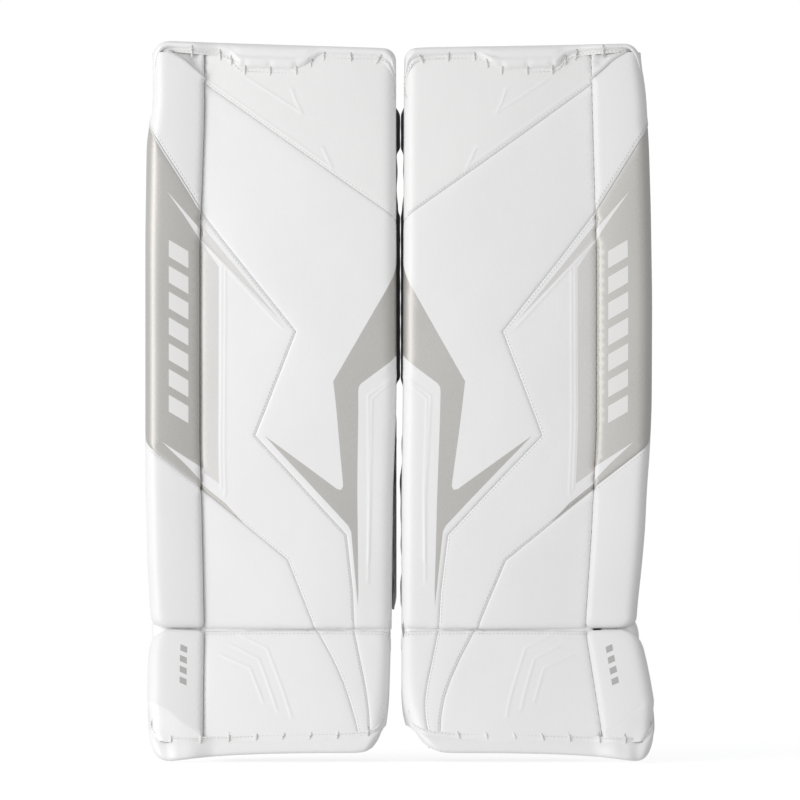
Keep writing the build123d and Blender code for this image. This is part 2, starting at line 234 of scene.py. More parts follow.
def between_edges(pad, nominal, z, boot=""):
    """Takes a nominal X between the inner edge and the valley to where it is on this pad at this height."""
    xi, xv = pad[boot + "inner"](z), pad[boot + "valley"](z)
    return xi + (nominal - INNER) * (xv - xi) / (VALLEY - INNER)


def over_sides(u):
    """Nominal X, depth and crown where the cloth of a face turns over its inner edge and into the valley."""
    left, left_depth = over_edge(u - INNER, FACE_R)
    right, right_depth = over_edge(VALLEY - u, VALLEY_R)
    nominal = np.where(u < 110, INNER + left, VALLEY - right)
    return nominal, left_depth + right_depth, 1 - ((nominal - 112) / 108) ** 2


def face_surface(pad):
    """The shin's face: u is the drawing's X along the cloth, v the height along the cloth."""
    def surface(u, v):
        nominal, deep, crown = over_sides(u)
        up, turn = over_edge(v - ANKLE, CREASE_R)
        z = ANKLE + up
        x = between_edges(pad, nominal, z)
        deep = np.minimum(deep + turn, DEPTH)
        return placed(pad, x, lean(z) + deep - 3.0 * crown * (deep < 20) - wave(x, z, pad["side"]), z)
    return faced(surface, pad["side"])


def back_surface(pad, to_frame, low, boot=""):
    """The leg side of a pad: a flat, slightly crowned lining. u is the drawing's X and v the height."""
    def surface(u, v):
        x = between_edges(pad, u, v, boot)
        crown = 1.6 * np.clip(np.minimum(u - INNER, VALLEY - u) / 12, 0, 1) * np.clip((v - low) / 12, 0, 1)
        return to_frame(pad, x, DEPTH - 0.6 + crown, v)
    return faced(surface, -pad["side"])


def cut_corner(t, r):
    """How far an outline has turned in, t before its end, round a corner of radius r."""
    return r - np.sqrt(r**2 - np.clip(r - t, 0, r) ** 2)


def roll_surface(pad, low, to_frame, boot="", tilt=7.5, high=None, foot=13):
    """An outer roll: u runs from the valley over the front, round the outer side and along the back."""
    valley, outer = pad[boot + "valley"], pad[boot + "outer"]

    def surface(u, v):
        up, inset = over_edge(v - low, END_R)
        z = low + up
        if high is not None:
            down, inset2 = over_edge(high - v, END_R)
            z = np.where(v > (low + high) / 2, high - down, z)
            inset = inset + inset2
        a, d1 = over_edge(u, 3.5)
        b, d2 = over_edge(ROLL_W - u, 13.0)
        front = u < ROLL_W / 2
        nominal = np.where(front, a, ROLL_W - b)
        deep = np.where(front, d1, d2)
        thick = DEPTH + ROLL_RISE
        c, d3 = over_edge(thick - deep, 9.0)
        deep = np.where(front | (d2 <= 0), deep, thick - c)
        nominal = nominal - np.where(front, 0, d3)
        nominal = ROLL_W / 2 + (nominal - ROLL_W / 2) * (1 - inset / (ROLL_W / 2))
        deep = thick / 2 + (deep - thick / 2) * (1 - inset / (thick / 2))
        sunk = 0 if high is None else 0.4 * np.clip(deep, 0, 45)
        xv, xo = valley(z) - 0.4, outer(z) - cut_corner(z - low - sunk, foot)
        if high is not None:
            xo = xo - cut_corner(high - z, 18)
        x = xv + nominal * (xo - xv) / ROLL_W
        belly = 1.2 * np.sin(np.clip(nominal / ROLL_W, 0, 1) * math.pi)
        near = np.clip(1 - deep / 20, 0, 1)
        y = deep - ROLL_RISE - (tilt * nominal / ROLL_W + belly + wave(x, z, 2.0)) * near
        # the end at the ankle slopes away from the other roll, so that they clear each other when the boot bends
        clear = 0.07 * np.clip(-y, 0, 20)
        up = np.exp(-np.clip(z - low, 0, None) / 15) if high is None else -np.exp(-np.clip(high - z, 0, None) / 15)
        return to_frame(pad, x, y, z + clear * up)
    return faced(surface, pad["side"])


def upright(pad, x, y, z):
    return placed(pad, x, y + lean(z), z)


def tilted(pad, x, depth, z):
    """z is the height that a point on the boot's face has; depth goes in square to the face."""
    along = (ANKLE - z) / math.cos(TILT)
    return placed(pad, x, -along * math.sin(TILT) + depth * math.cos(TILT),
                  ANKLE - along * math.cos(TILT) - depth * math.sin(TILT))


def boot_surface(pad):
    """The boot's face, with u and v as on the shin's."""
    def surface(u, v):
        nominal, deep, crown = over_sides(u)
        down, turn = over_edge(ANKLE - v, CREASE_R)
        z = ANKLE - down
        x = between_edges(pad, nominal, z, "boot_")
        deep = np.minimum(deep + turn, DEPTH)
        crown = 2.5 * crown + 1.5 * np.sin(np.clip((ANKLE - z) / 120, 0, 1) * math.pi)
        return tilted(pad, x, deep - crown * (deep < 20) - wave(x, z, 1 + pad["side"]), z)
    return faced(surface, pad["side"])


def normals(surface, u, v):
    e = 0.05
    pu = surface(u + e, v) - surface(u - e, v)
    pv = surface(u, v + e) - surface(u, v - e)
    n = np.cross(pu, pv) * surface.sign
    return n / np.maximum(np.linalg.norm(n, axis=-1, keepdims=True), 1e-9)


def cloth_line(line, boot=""):
    """A line as it lies on the right pad, seen from the front, taken onto the nominal cloth of a face."""
    line = np.asarray(line, float).copy()
    xi, xv = (PADS["right"][boot + key](line[:, 1]) for key in ("inner", "valley"))
    x = INNER + (line[:, 0] - xi) * (VALLEY - INNER) / (xv - xi)
    line[:, 0] = np.where(x < 110, INNER + along_cloth(x - INNER, FACE_R), VALLEY - along_cloth(VALLEY - x, VALLEY_R))
    return line


SEAM, RIDGE, EDGE, SOFT = "seam", "ridge", "edge", "soft"
OFFSETS = {SEAM: (0.6, 1.4, 3.0, 6.0), RIDGE: (0.8, 1.7, 2.8, 4.6), EDGE: (2.0,), SOFT: (1.5, 3.5, 7.0)}


def relief(points, lines):
    """Height of the cloth over its smooth surface, from the seams and raised lines sewn or pressed into it."""
    h = np.zeros(len(points))
    seams = [line for kind, line in lines if kind == SEAM]
    if seams:
        d = np.min([distance(points, s) for s in seams], axis=0)
        h -= 0.75 * np.exp(-d / 2.6) + 0.7 * np.exp(-((d / 0.7) ** 2))
    for kind, line in lines:
        if kind == RIDGE:
            d = distance(points, line)
            h += 0.5 * np.exp(-((d / 1.6) ** 2)) - 0.15 * np.exp(-((d / 4.0) ** 2))
        elif kind == SOFT:
            d = distance(points, line)
            h -= 1.3 * np.exp(-((d / 4.0) ** 2))
    return h


def panel(name, surface, ring, lines, patches, materials, spacing=6.0, extra=None):
    """A sewn panel: an outline on the cloth, seam and ridge lines, and patches of other leather, meshed to them."""
    ring = resample(looped(ring), 4.0)[:-1]
    verts, edges = [Vector(p) for p in ring], [(i, (i + 1) % len(ring)) for i in range(len(ring))]
    marks = lines + [(EDGE, looped(p)) for p, _ in patches]
    tree_pts = list(ring)
    for kind, line in marks:
        fine = resample(line, 2.6)
        ok = within(fine, ring)
        start = len(verts)
        verts += [Vector(p) for p in fine]
        edges += [(start + i, start + i + 1) for i in range(len(fine) - 1) if ok[i] and ok[i + 1]]
        tree_pts += list(fine[ok])

    def kd(points):
        tree = KDTree(len(points))
        for i, p in enumerate(points):
            tree.insert((p[0], p[1], 0), i)
        tree.balance()
        return tree
    core = kd(tree_pts)
    accepted = list(tree_pts)
    for kind, line in marks:
        fine = resample(line, 2.6)
        side = sideways(fine)
        cand = [(o, p) for o in OFFSETS[kind] for s in (-1, 1) for p in fine + side * o * s]
        tree = kd(accepted)
        fresh = [p for o, p in cand if core.find((p[0], p[1], 0))[2] > 0.75 * o
                 and tree.find((p[0], p[1], 0))[2] > min(0.7 * o, 1.3)]
        if fresh:
            ok = within(np.array(fresh), ring)
            fresh = [p for p, k in zip(fresh, ok) if k]
            accepted += fresh
            verts += [Vector(p) for p in fresh]
    lo, hi = ring.min(axis=0), ring.max(axis=0)
    rows = np.arange(lo[1], hi[1], spacing * 0.87)
    grid = np.array([(x + (spacing / 2 if i % 2 else 0), y) for i, y in enumerate(rows)
                     for x in np.arange(lo[0], hi[0], spacing)])
    tree = kd(accepted)
    grid = grid[within(grid, ring)]
    grid = [p for p in grid if tree.find((p[0], p[1], 0))[2] > 0.55 * spacing]
    verts += [Vector(p) for p in grid]
    out = delaunay_2d_cdt([v.to_2d() for v in verts], edges, [], 0, 1e-3)
    uv = np.array([tuple(v) for v in out[0]])
    tris = np.array([tuple(f) for f in out[2]])
    mid = uv[tris].mean(axis=1)
    good = within(mid, ring)
    tris, mid = tris[good], mid[good]
    slots = np.zeros(len(tris), int)
    for ring_p, slot in patches:
        slots[within(mid, np.asarray(ring_p))] = slot
    used, tris = np.unique(tris, return_inverse=True)
    uv, tris = uv[used], tris.reshape(-1, 3)
    h = relief(uv, lines)
    if extra is not None:
        h = h + extra(uv)
    n = normals(surface, uv[:, 0], uv[:, 1])
    p = surface(uv[:, 0], uv[:, 1])
    q = p + n * h[:, None]
    turned = (np.cross(q[tris[:, 1]] - q[tris[:, 0]], q[tris[:, 2]] - q[tris[:, 0]]) * n[tris[:, 0]]).sum(1) < 0
    tris[turned] = tris[turned][:, ::-1]
    return make(name, q, tris, materials, slots)


def on_surface(surface, line, lift=0.0, lines=()):
    """Points of a cloth line in the row frame, lifted off the surface, with the surface's normals."""
    line = np.asarray(line, float)
    p, n = surface(line[:, 0], line[:, 1]), normals(surface, line[:, 0], line[:, 1])
    h = relief(line, list(lines)) if len(lines) else np.zeros(len(line))
    return p + n * (h + lift)[:, None], n


def tube(points, radius, sides=8):
    """A round cord along points: (vertices, faces)."""
    p = np.asarray(points, float)
    t = np.gradient(p, axis=0)
    t /= np.maximum(np.linalg.norm(t, axis=1, keepdims=True), 1e-9)
    ref = np.array([0.31, 0.27, 0.91])
    a = np.cross(t, ref)
    a /= np.maximum(np.linalg.norm(a, axis=1, keepdims=True), 1e-9)
    b = np.cross(t, a)
    r = np.broadcast_to(np.asarray(radius, float), (len(p),))
    ang = np.arange(sides) * 2 * math.pi / sides
    around = a[:, None] * np.cos(ang)[None, :, None] + b[:, None] * np.sin(ang)[None, :, None]
    v = p[:, None] + r[:, None, None] * around
    first, last = end_faces(len(p), sides)
    return v.reshape(-1, 3), grid_faces(len(p), sides, closed=True) + [first[::-1], last]


def gather(parts):
    """Joins (vertices, faces) pairs."""
    vs, fs, n = [], [], 0
    for v, f in parts:
        vs.append(v)
        fs += [tuple(i + n for i in face) for face in f]
        n += len(v)
    return np.concatenate(vs), fs


def stitch_parts(points, n, pitch=4.2, length=2.6, radius=0.3, lift=0.05):
    """One short rounded thread for each stitch along a line of points with their surface's normals."""
    run = run_along(points)
    dip = np.array([-0.35, 0.1, 0.2, 0.1, -0.35]) + lift
    parts = []
    for s in np.arange(pitch / 2, run[-1] - pitch / 2, pitch):
        at = s + np.linspace(-length / 2, length / 2, 5)
        p, m = (np.stack([np.interp(at, run, a[:, k]) for k in range(3)], axis=1) for a in (points, n))
        parts.append(tube(p + m * dip[:, None], [radius * 0.5, radius, radius, radius, radius * 0.5], 6))
    return parts


def stitched(surface, line, lines=(), **how):
    """Stitches along a cloth line."""
    return stitch_parts(*on_surface(surface, resample(line, 1.5), 0.0, lines), **how)


def beside(line, gap):
    """A line parallel to a polyline, gap to its left."""
    line = resample(line, 3.0)
    return line + sideways(line) * gap


# ---------------------------------------------------------------- materials
def material(name, colour, rough, metallic=0.0, sheen=0.0, spec=0.5, coat=0.0, coat_rough=0.3):
    mat = bpy.data.materials.new(name)
    mat.use_nodes = True
    nodes, links = mat.node_tree.nodes, mat.node_tree.links
    shader = nodes["Principled BSDF"]
    shader.inputs["Base Color"].default_value = (*colour, 1)
    shader.inputs["Roughness"].default_value = rough
    shader.inputs["Metallic"].default_value = metallic
    shader.inputs["Sheen Weight"].default_value = sheen
    shader.inputs["Specular IOR Level"].default_value = spec
    shader.inputs["Coat Weight"].default_value = coat
    shader.inputs["Coat Roughness"].default_value = coat_rough
    return mat, nodes, links, shader


def space(nodes, links, scale):
    """Object space, stretched by scale."""
    coord, mapping = nodes.new("ShaderNodeTexCoord"), nodes.new("ShaderNodeMapping")
    mapping.inputs["Scale"].default_value = scale
    links.new(coord.outputs["Object"], mapping.inputs["Vector"])
    return mapping.outputs["Vector"]


def noise(nodes, links, vector, scale, detail=3.0, rough=0.5):
    node = nodes.new("ShaderNodeTexNoise")
    node.inputs["Scale"].default_value = scale
    node.inputs["Detail"].default_value = detail
    node.inputs["Roughness"].default_value = rough
    links.new(vector, node.inputs["Vector"])
    return node.outputs["Fac"]


def spread(nodes, links, fac, low, high, start=0.3, end=0.7):
    """A colour or grey that runs from low to high over part of a factor's range."""
    node = nodes.new("ShaderNodeValToRGB")
    node.color_ramp.elements[0].position, node.color_ramp.elements[1].position = start, end
    node.color_ramp.elements[0].color = (*low, 1)
    node.color_ramp.elements[1].color = (*high, 1)
    links.new(fac, node.inputs["Fac"])
    return node.outputs["Color"]


def bump(nodes, links, shader, heights):
    """Chains (height, strength, distance) bumps into the shader's normal."""
    last = None
    for height, strength, dist in heights:
        node = nodes.new("ShaderNodeBump")
        node.inputs["Strength"].default_value = strength
        node.inputs["Distance"].default_value = dist
        links.new(height, node.inputs["Height"])
        if last is not None:
            links.new(last, node.inputs["Normal"])
        last = node.outputs["Normal"]
    links.new(last, shader.inputs["Normal"])


def pebbles(nodes, links, vector, scale):
    """Fine leather grain: small cells with soft valleys between them."""
    cells = nodes.new("ShaderNodeTexVoronoi")
    cells.feature = "SMOOTH_F1"
    cells.inputs["Scale"].default_value = scale
    cells.inputs["Smoothness"].default_value = 0.6
    links.new(vector, cells.inputs["Vector"])
    return cells.outputs["Distance"]


def tint(c, k):
    return tuple(v * k for v in c)


def multiplied(nodes, links, a, b):
    """Two colours multiplied; a Mix node's sockets 6 and 7 and its output 2 are the ones for colours."""
    mix = nodes.new("ShaderNodeMix")
    mix.data_type, mix.blend_type = "RGBA", "MULTIPLY"
    mix.inputs[0].default_value = 1.0
    links.new(a, mix.inputs[6])
    links.new(b, mix.inputs[7])
    return mix.outputs[2]


def leather(name, colour, rough=0.42, grain=0.35, stain=0.03):
    mat, nodes, links, shader = material(name, colour, rough, spec=0.45, coat=0.08, coat_rough=0.35)
    plain = space(nodes, links, (1, 1, 1))
    cloudy = noise(nodes, links, plain, 7.0, 4.0)
    links.new(spread(nodes, links, cloudy, tint(colour, 1 - stain), colour), shader.inputs["Base Color"])
    fine = noise(nodes, links, plain, 1500.0, 2.0)
    links.new(spread(nodes, links, noise(nodes, links, plain, 60.0, 3.0), (rough - 0.06,) * 3, (rough + 0.06,) * 3),
              shader.inputs["Roughness"])
    bump(nodes, links, shader, [(noise(nodes, links, plain, 38.0, 2.0), 0.10, 0.004),
                                (pebbles(nodes, links, plain, 850.0), grain, 0.00025), (fine, grain * 0.5, 0.0001)])
    return mat


def pearl(name, low, high, metallic=0.55):
    """Silver pearl leather: fine metallic flecks under the grain."""
    mat, nodes, links, shader = material(name, high, 0.5, metallic=metallic)
    flecks = noise(nodes, links, space(nodes, links, (900, 900, 600)), 1.0, 4.0, 0.65)
    plain = space(nodes, links, (1, 1, 1))
    flecked = spread(nodes, links, flecks, low, high, 0.25, 0.75)
    shade = spread(nodes, links, noise(nodes, links, plain, 5.0, 3.0), (0.93, 0.93, 0.93), (1, 1, 1))
    links.new(multiplied(nodes, links, flecked, shade), shader.inputs["Base Color"])
    bump(nodes, links, shader, [(flecks, 0.12, 0.0002), (pebbles(nodes, links, plain, 850.0), 0.25, 0.0002)])
    return mat


def woven(name, colour, pitch, rough, depth, contrast):
    """Plain weave of the given thread pitch and depth, in metres."""
    mat, nodes, links, shader = material(name, colour, rough, sheen=0.2)
    plain = space(nodes, links, (1, 1, 1))
    waves = []
    for axis in ("X", "Z"):
        w = nodes.new("ShaderNodeTexWave")
        w.bands_direction = axis
        w.inputs["Scale"].default_value = 0.05 * 2 * math.pi / pitch
        w.inputs["Distortion"].default_value = 0.6
        w.inputs["Detail Scale"].default_value = 2.0
        links.new(plain, w.inputs["Vector"])
        waves.append(w.outputs["Fac"])
    join = nodes.new("ShaderNodeMath")
    join.operation = "MULTIPLY"
    links.new(waves[0], join.inputs[0])
    links.new(waves[1], join.inputs[1])
    shade = spread(nodes, links, join.outputs[0], tint(colour, 1 - contrast), colour, 0.05, 0.6)
    fuzz = noise(nodes, links, plain, 9.0, 4.0)
    worn = spread(nodes, links, fuzz, (0.86,) * 3, (1, 1, 1))
    links.new(multiplied(nodes, links, shade, worn), shader.inputs["Base Color"])
    bump(nodes, links, shader, [(join.outputs[0], 0.5, depth), (noise(nodes, links, plain, 900.0, 2.0), 0.2, 0.0002)])
    return mat


WHITE = leather("white_leather", (0.86, 0.855, 0.853))
WARM = leather("warm_white_leather", (0.85, 0.841, 0.834), stain=0.02)
# the rolls' white leather with painted shade: the face's leather made darker for the shade that falls on the rolls
ROLL_SHADED_WHITE = leather("roll_white_leather_painted_shade", (0.825, 0.818, 0.815))
BINDING = leather("binding_leather", (0.85, 0.845, 0.84), rough=0.38, grain=0.25)
# white leather piping, made grey with painted shade: it draws the dark line of shade in a seam's groove
PIPING_SEAM_SHADE = leather("piping_leather_painted_seam_shade", (0.66, 0.655, 0.65), rough=0.4, grain=0.2)
SILVER = pearl("silver_leather", (0.54, 0.523, 0.495), (0.615, 0.6, 0.573))
PALE_SILVER = pearl("pale_silver_leather", (0.71, 0.695, 0.675), (0.78, 0.765, 0.745), metallic=0.45)
MARK = leather("mark_print", (0.80, 0.79, 0.78), rough=0.4, grain=0.2)
GREY_MARK = leather("grey_mark_print", (0.45, 0.44, 0.43), rough=0.45, grain=0.2)
THREAD = woven("thread", (0.80, 0.79, 0.77), 0.0005, rough=0.6, depth=0.00003, contrast=0.12)
LACE = woven("lace_cord", (0.92, 0.905, 0.88), 0.0009, rough=0.65, depth=0.00008, contrast=0.15)
LINING = woven("lining_nylon", (0.045, 0.045, 0.06), 0.0011, rough=0.6, depth=0.0004, contrast=0.5)
EYELET = leather("eyelet_enamel", (0.62, 0.62, 0.61), rough=0.3, grain=0.05)

# ---------------------------------------------------------------- what is drawn on a pad, (X, Z) in millimetres
THIGH_SEAM = [(232, 774), (218, 760), (9, 613), (-12, 599)]
THIGH_RIDGES = [[(232, 777), (80, 669), (76, 665), (83, 680), (87, 689)], [(232, 773), (84, 666)],
                [(172, 768), (114, 731), (110, 727), (117, 741), (121, 752)]]
MAIN_SEAM = [(232, 627), (223, 616), (118, 483), (164, 366), (61, 254), (54, 190), (52, 140)]
LOWER_SEAM = [(232, 312), (223, 305), (127, 226), (100, 158), (95, 140)]
BAND_RIDGES = [[(197, 553), (197, 301)], [(201, 556), (201, 306)], [(222, 583), (134, 488)]]
INNER_RIDGES = [[(-10, 442), (12.5, 427.5), (36.3, 411), (35.5, 300), (36.5, 204)],
                [(-10, 439), (12, 424.5), (32.4, 407.5), (33.6, 300), (35.6, 225)]]
SPIKE = [(-30, 566), (4, 564), (75.6, 427), (65, 316), (64.6, 309), (66.8, 305), (71.5, 306), (153, 366), (59, 265),
         (55.5, 258), (48, 174), (47.4, 193), (47.6, 416), (46.8, 421), (44.4, 424.5), (6, 455), (-30, 457)]
BAND = [(240, 599), (222, 581), (204, 555), (204, 312), (222, 325), (240, 338)]
BAND_WEDGE = [(240, 620), (223, 602), (134, 494), (223, 585), (240, 596)]
SLIVER = [(240, 322), (223, 311), (197, 290), (176, 267), (223, 304), (240, 317)]
BOOT_SEAMS = [[(97, 153), (92, 143), (71, 105), (51, 45), (46, 22)],
              [(54, 153), (52, 144), (43, 100), (37, 66), (37, 22)]]
CHEVRONS = [[(182, 142), (150, 126), (123, 52)], [(190, 130), (159, 114), (139, 58)],
            [(202, 119), (169, 104), (155, 68)]]
ROLL_TOP_SEAM = [(205, 607), (224, 622), (274, 697), (284, 712), (300, 724), (352, 728)]
ROLL_LOW_SEAM = [(205, 295), (224, 309), (276, 349), (286, 361), (300, 370), (352, 374)]


def keep(obj, body, *nodes, slot=None, fill=None):
    """Hands a finished piece to its body and hides the parts of the model that it stands for. What it is made of,
    slot, is not used.
    """
    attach(obj, body)
    if nodes:
        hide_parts(*nodes)


def sew(name, body, threads):
    keep(make(name, *gather(threads), [THREAD]), body, slot="lace")


def drawn_x(pad, x, z, boot=""):
    """Takes a nominal X of the drawing to where it is on this pad at this height."""
    xv, xo = (pad[boot + key](z) for key in ("valley", "outer"))
    return np.where(x < VALLEY, between_edges(pad, x, z, boot), xv + (x - VALLEY) * (xo - xv) / (OUTER - VALLEY))


def roll_line(line):
    """A line drawn as seen from the front, taken onto the cloth of a roll."""
    line = np.asarray(line, float).copy()
    n = (line[:, 0] - VALLEY - 1) * ROLL_W / (OUTER - VALLEY)
    line[:, 0] = np.where(n < ROLL_W / 2, along_cloth(n, 3.5), ROLL_W - along_cloth(ROLL_W - n, 13.0))
    return line


def smoothstep(t):
    t = np.clip(t, 0, 1)
    return t * t * (3 - 2 * t)


# ---------------------------------------------------------------- face
def piped(surface, seams, lines, name, body, above, sides):
    """Piping along each seam and a row of stitches on one side of it, above the ankle (1) or below it (-1)."""
    threads, cords = [], []
    for seam, side in zip(seams, sides):
        # the piping's grey is painted shade of the seam's groove
        cords.append(tube(on_surface(surface, resample(seam, 2.0), 0.45, lines)[0], 0.5, 6))
        row = beside(seam, 2.4 * side)
        threads += stitched(surface, row[(row[:, 1] - ANKLE) * above > 4], lines)
    keep(make(name + "_piping", *gather(cords), [PIPING_SEAM_SHADE]), body, slot="white_leather")
    sew(name + "_stitches", body, threads)


def build_face(name, pad):
    surface = face_surface(pad)
    ring = [(SIDE_END, ANKLE - 41), (VALLEY + 14, ANKLE - 41), (VALLEY + 14, 796), (18, 796), (9, 792), (2, 782),
            (SIDE_END, 776)]
    seams = [cloth_line(s) for s in (THIGH_SEAM, MAIN_SEAM, LOWER_SEAM)]
    ridges = [cloth_line(r) for r in THIGH_RIDGES + BAND_RIDGES + INNER_RIDGES]
    lines = [(SEAM, s) for s in seams] + [(RIDGE, r) for r in ridges]
    thigh = cloth_line([(240, 779), (218, 760), (9, 613), (-90, 545), (-90, 830), (240, 830)])
    patches = [(thigh, 3)] + [(cloth_line(p), slot) for p, slot in
                              ((SPIKE, 1), (BAND, 2), (BAND_WEDGE, 2), (SLIVER, 1))]
    obj = panel(f"{name}_face_leather", surface, ring, lines, patches, [WHITE, SILVER, PALE_SILVER, WARM])
    keep(obj, f"{name}_shin", f"{name}_face_cover", f"{name}_shin_core", slot="white_leather", fill=0.9)
    piped(surface, [s[1:-1] if len(s) < 5 else s[1:] for s in seams], lines, f"{name}_face", f"{name}_shin", 1,
          (-1, 1, -1))


# ---------------------------------------------------------------- rolls
def build_roll(name, pad):
    low = ANKLE + ROLL_GAP
    surface = roll_surface(pad, low, upright)
    ring = [(-18, low - 21), (168, low - 21), (168, 797), (-18, 797)]
    top, bottom = roll_line(ROLL_TOP_SEAM), roll_line(ROLL_LOW_SEAM)
    silver = np.vstack([top, bottom[::-1]])
    tip = roll_line([(268, 799), (262, 796), (248, 789), (235, 778), (222, 767), (212, 760)])
    fold = np.vstack([tip, roll_line([(200, 760), (200, 830), (268, 830)])])
    bars = [(roll_line([(235, z), (258, z + 13), (258, z + 32), (235, z + 19)]), 2) for z in np.arange(380, 580, 29.0)]
    patches = [(fold, 0), (silver, 1), (roll_line([(262, 641), (222, 596), (222, 584), (240, 612)]), 0),
               (roll_line([(266, 359), (222, 330), (222, 314), (240, 335)]), 0)] + bars
    lines = [(SEAM, top), (SEAM, bottom)]

    def recess(uv):
        return -6 * smoothstep(distance(uv, tip) / 6) * within(uv, fold) * smoothstep(uv[:, 0] / 7)
    # the roll's white is the darker copy with painted shade
    obj = panel(f"{name}_roll_leather", surface, ring, lines, patches, [ROLL_SHADED_WHITE, SILVER, MARK], extra=recess)
    keep(obj, f"{name}_shin", f"{name}_roll_cover", f"{name}_roll_core", slot="silver_leather", fill=0.9)
    cords = [tube(on_surface(surface, resample(top, 2), 0.5, lines)[0], 1.4),
             tube(on_surface(surface, resample(softened(tip), 3.0), 0.3, lines)[0], 1.7)]
    # the roll's piping is grey with painted seam shade
    keep(make(f"{name}_roll_piping", *gather(cords), [PIPING_SEAM_SHADE]), f"{name}_shin", slot="white_leather")
    threads = stitched(surface, beside(top, 3.2), lines) + stitched(surface, beside(bottom, -2.8), lines)
    sew(f"{name}_roll_stitches", f"{name}_shin", threads)


def build_boot_roll(name, pad):
    high = ANKLE - ROLL_GAP
    surface = roll_surface(pad, 6.0, tilted, "boot_", tilt=6.0, high=high, foot=30)
    ring = [(-18, 20), (58, 20), (76, 34), (168, 34), (168, high + 21), (-18, high + 21)]
    crease = roll_line([(310, 84), (284, 66), (274, 60), (262, 54), (248, 42), (229, 31), (216, 22)])
    corner = np.vstack([crease, roll_line([(216, 0), (310, 0)])])
    bars = [(roll_line([(241, z), (249, z + 3), (249, z + 10), (241, z + 7)]), 1) for z in np.arange(82, 128, 12.0)]

    def facet(uv):
        return -0.17 * np.minimum(distance(uv, crease), 20) * within(uv, corner)
    # the boot roll's white is the darker copy with painted shade; its corner facet keeps the plain white leather
    obj = panel(f"{name}_boot_roll_leather", surface, ring, [], [(corner, 2)] + bars, [ROLL_SHADED_WHITE, GREY_MARK, WHITE],
                extra=facet)
    keep(obj, f"{name}_boot", f"{name}_boot_roll_cover", f"{name}_boot_roll_core", slot="white_leather", fill=0.9)


# ---------------------------------------------------------------- boot
def build_boot(name, pad):
    surface = boot_surface(pad)
    ring = [(SIDE_END, 60), (-4, 44), (8, 30), (16, 22), (VALLEY + 14, 18), (VALLEY + 14, ANKLE + 41),
            (SIDE_END, ANKLE + 41)]
    seams = [softened(cloth_line(s, "boot_"), 1) for s in BOOT_SEAMS]
    ridges = [cloth_line(r, "boot_") for r in CHEVRONS]
    crease = [(-40, 142.5), (VALLEY + 10, 142.5)]
    lines = [(SEAM, s) for s in seams] + [(RIDGE, r) for r in ridges]
    obj = panel(f"{name}_boot_leather", surface, ring, lines, [], [WHITE])
    keep(obj, f"{name}_boot", f"{name}_boot_cover", f"{name}_boot_core", slot="white_leather", fill=0.9)
    piped(surface, seams, lines, f"{name}_boot", f"{name}_boot", -1, (-1, 1))
    sew(f"{name}_ankle_stitches", f"{name}_boot", stitched(surface, crease, lines))


# ---------------------------------------------------------------- bindings along the top and toe edges
def edge_depth(x):
    """How deep the rounded front edges of a pad lie at a nominal X."""
    return sum(cut_corner(n, FACE_R) for n in (np.maximum(x - INNER, 0), np.maximum(OUTER - x, 0)))


def in_front(x, d):
    """Depth of a point that lies d behind the face or the roll at a nominal X."""
    return d + (np.minimum(edge_depth(x), 10) - 7.5 * smoothstep((x - 204) / 34)) * np.clip(1 - d / 18, 0, 1)


def over_top(pad, x, d, z):
    return upright(pad, drawn_x(pad, x, z), in_front(x, d), z)


def over_toe(pad, x, d, z):
    d = d + 2.6 * smoothstep((x - 252) / 14) * np.clip(1 - d / 10, 0, 1)
    y = in_front(x, d) / math.cos(TILT) - (ANKLE - z) * math.tan(TILT)
    return placed(pad, drawn_x(pad, x, z, "boot_"), y, z)


def edging(name, pad, rows, section, place, floor):
    """A padded binding lofted between its silhouette and its flange. rows hold (silhouette X, Z, flange X, Z)."""
    rows = resample(softened(rows, 2), 6.0)
    shapes = [section(row[2], math.hypot(row[0] - row[2], row[1] - row[3])) for row in rows]
    f, d = (np.array([s[k] for s in shapes]) for k in (0, 1))
    x = rows[:, 2:3] + (rows[:, 0:1] - rows[:, 2:3]) * f
    z = rows[:, 3:4] + (rows[:, 1:2] - rows[:, 3:4]) * f
    n = f.shape[1]
    points = place(pad, x, d, np.maximum(z, floor)).reshape(-1, 3)
    obj = make(name, points, grid_faces(len(rows), n) + end_faces(len(rows), n), [BINDING], closed=True)
    soften(obj, 2)
    return obj, rows


def along_flange(pad, rows, place, inset, d):
    """A line on the flange, inset from its edge."""
    way = rows[:, :2] - rows[:, 2:]
    way /= np.linalg.norm(way, axis=1, keepdims=True)
    p = rows[:, 2:] + way * inset
    points = place(pad, p[:, 0], np.full(len(p), d), p[:, 1])
    return resample(points, 1.5)


def lace_loops(pad, rows, section, place, xs, reach):
    """A lace stitch over the flange at each X, slightly askew."""
    rng = np.random.default_rng(7)
    parts = []
    for x in xs:
        i = int(np.argmin(abs(rows[:, 2] - x)))
        i = min(max(i, 1), len(rows) - 2)
        row = rows[i]
        way = row[:2] - row[2:]
        h = np.hypot(*way)
        way = way / h
        across = np.array([way[1], -way[0]])
        f, d = section(row[2], h)
        front = slice(0, int(np.argmax(f)) + 1)
        t = np.linspace(-3.5, reach, 12)
        skew = rng.uniform(-0.12, 0.12)
        bow = np.sin(np.linspace(0, math.pi, 12)) * rng.uniform(-0.7, 0.7)
        p = row[2:] + way * t[:, None] + across * (skew * t + bow)[:, None]
        deep = np.interp(t / h, f[front], d[front]) - 1.1
        deep[0], deep[1], deep[-2], deep[-1] = 1.2, -0.9, deep[-2] + 0.6, deep[-1] + 3.2
        parts.append(tube(place(pad, p[:, 0], deep, p[:, 1]), 1.15, 8))
    return parts


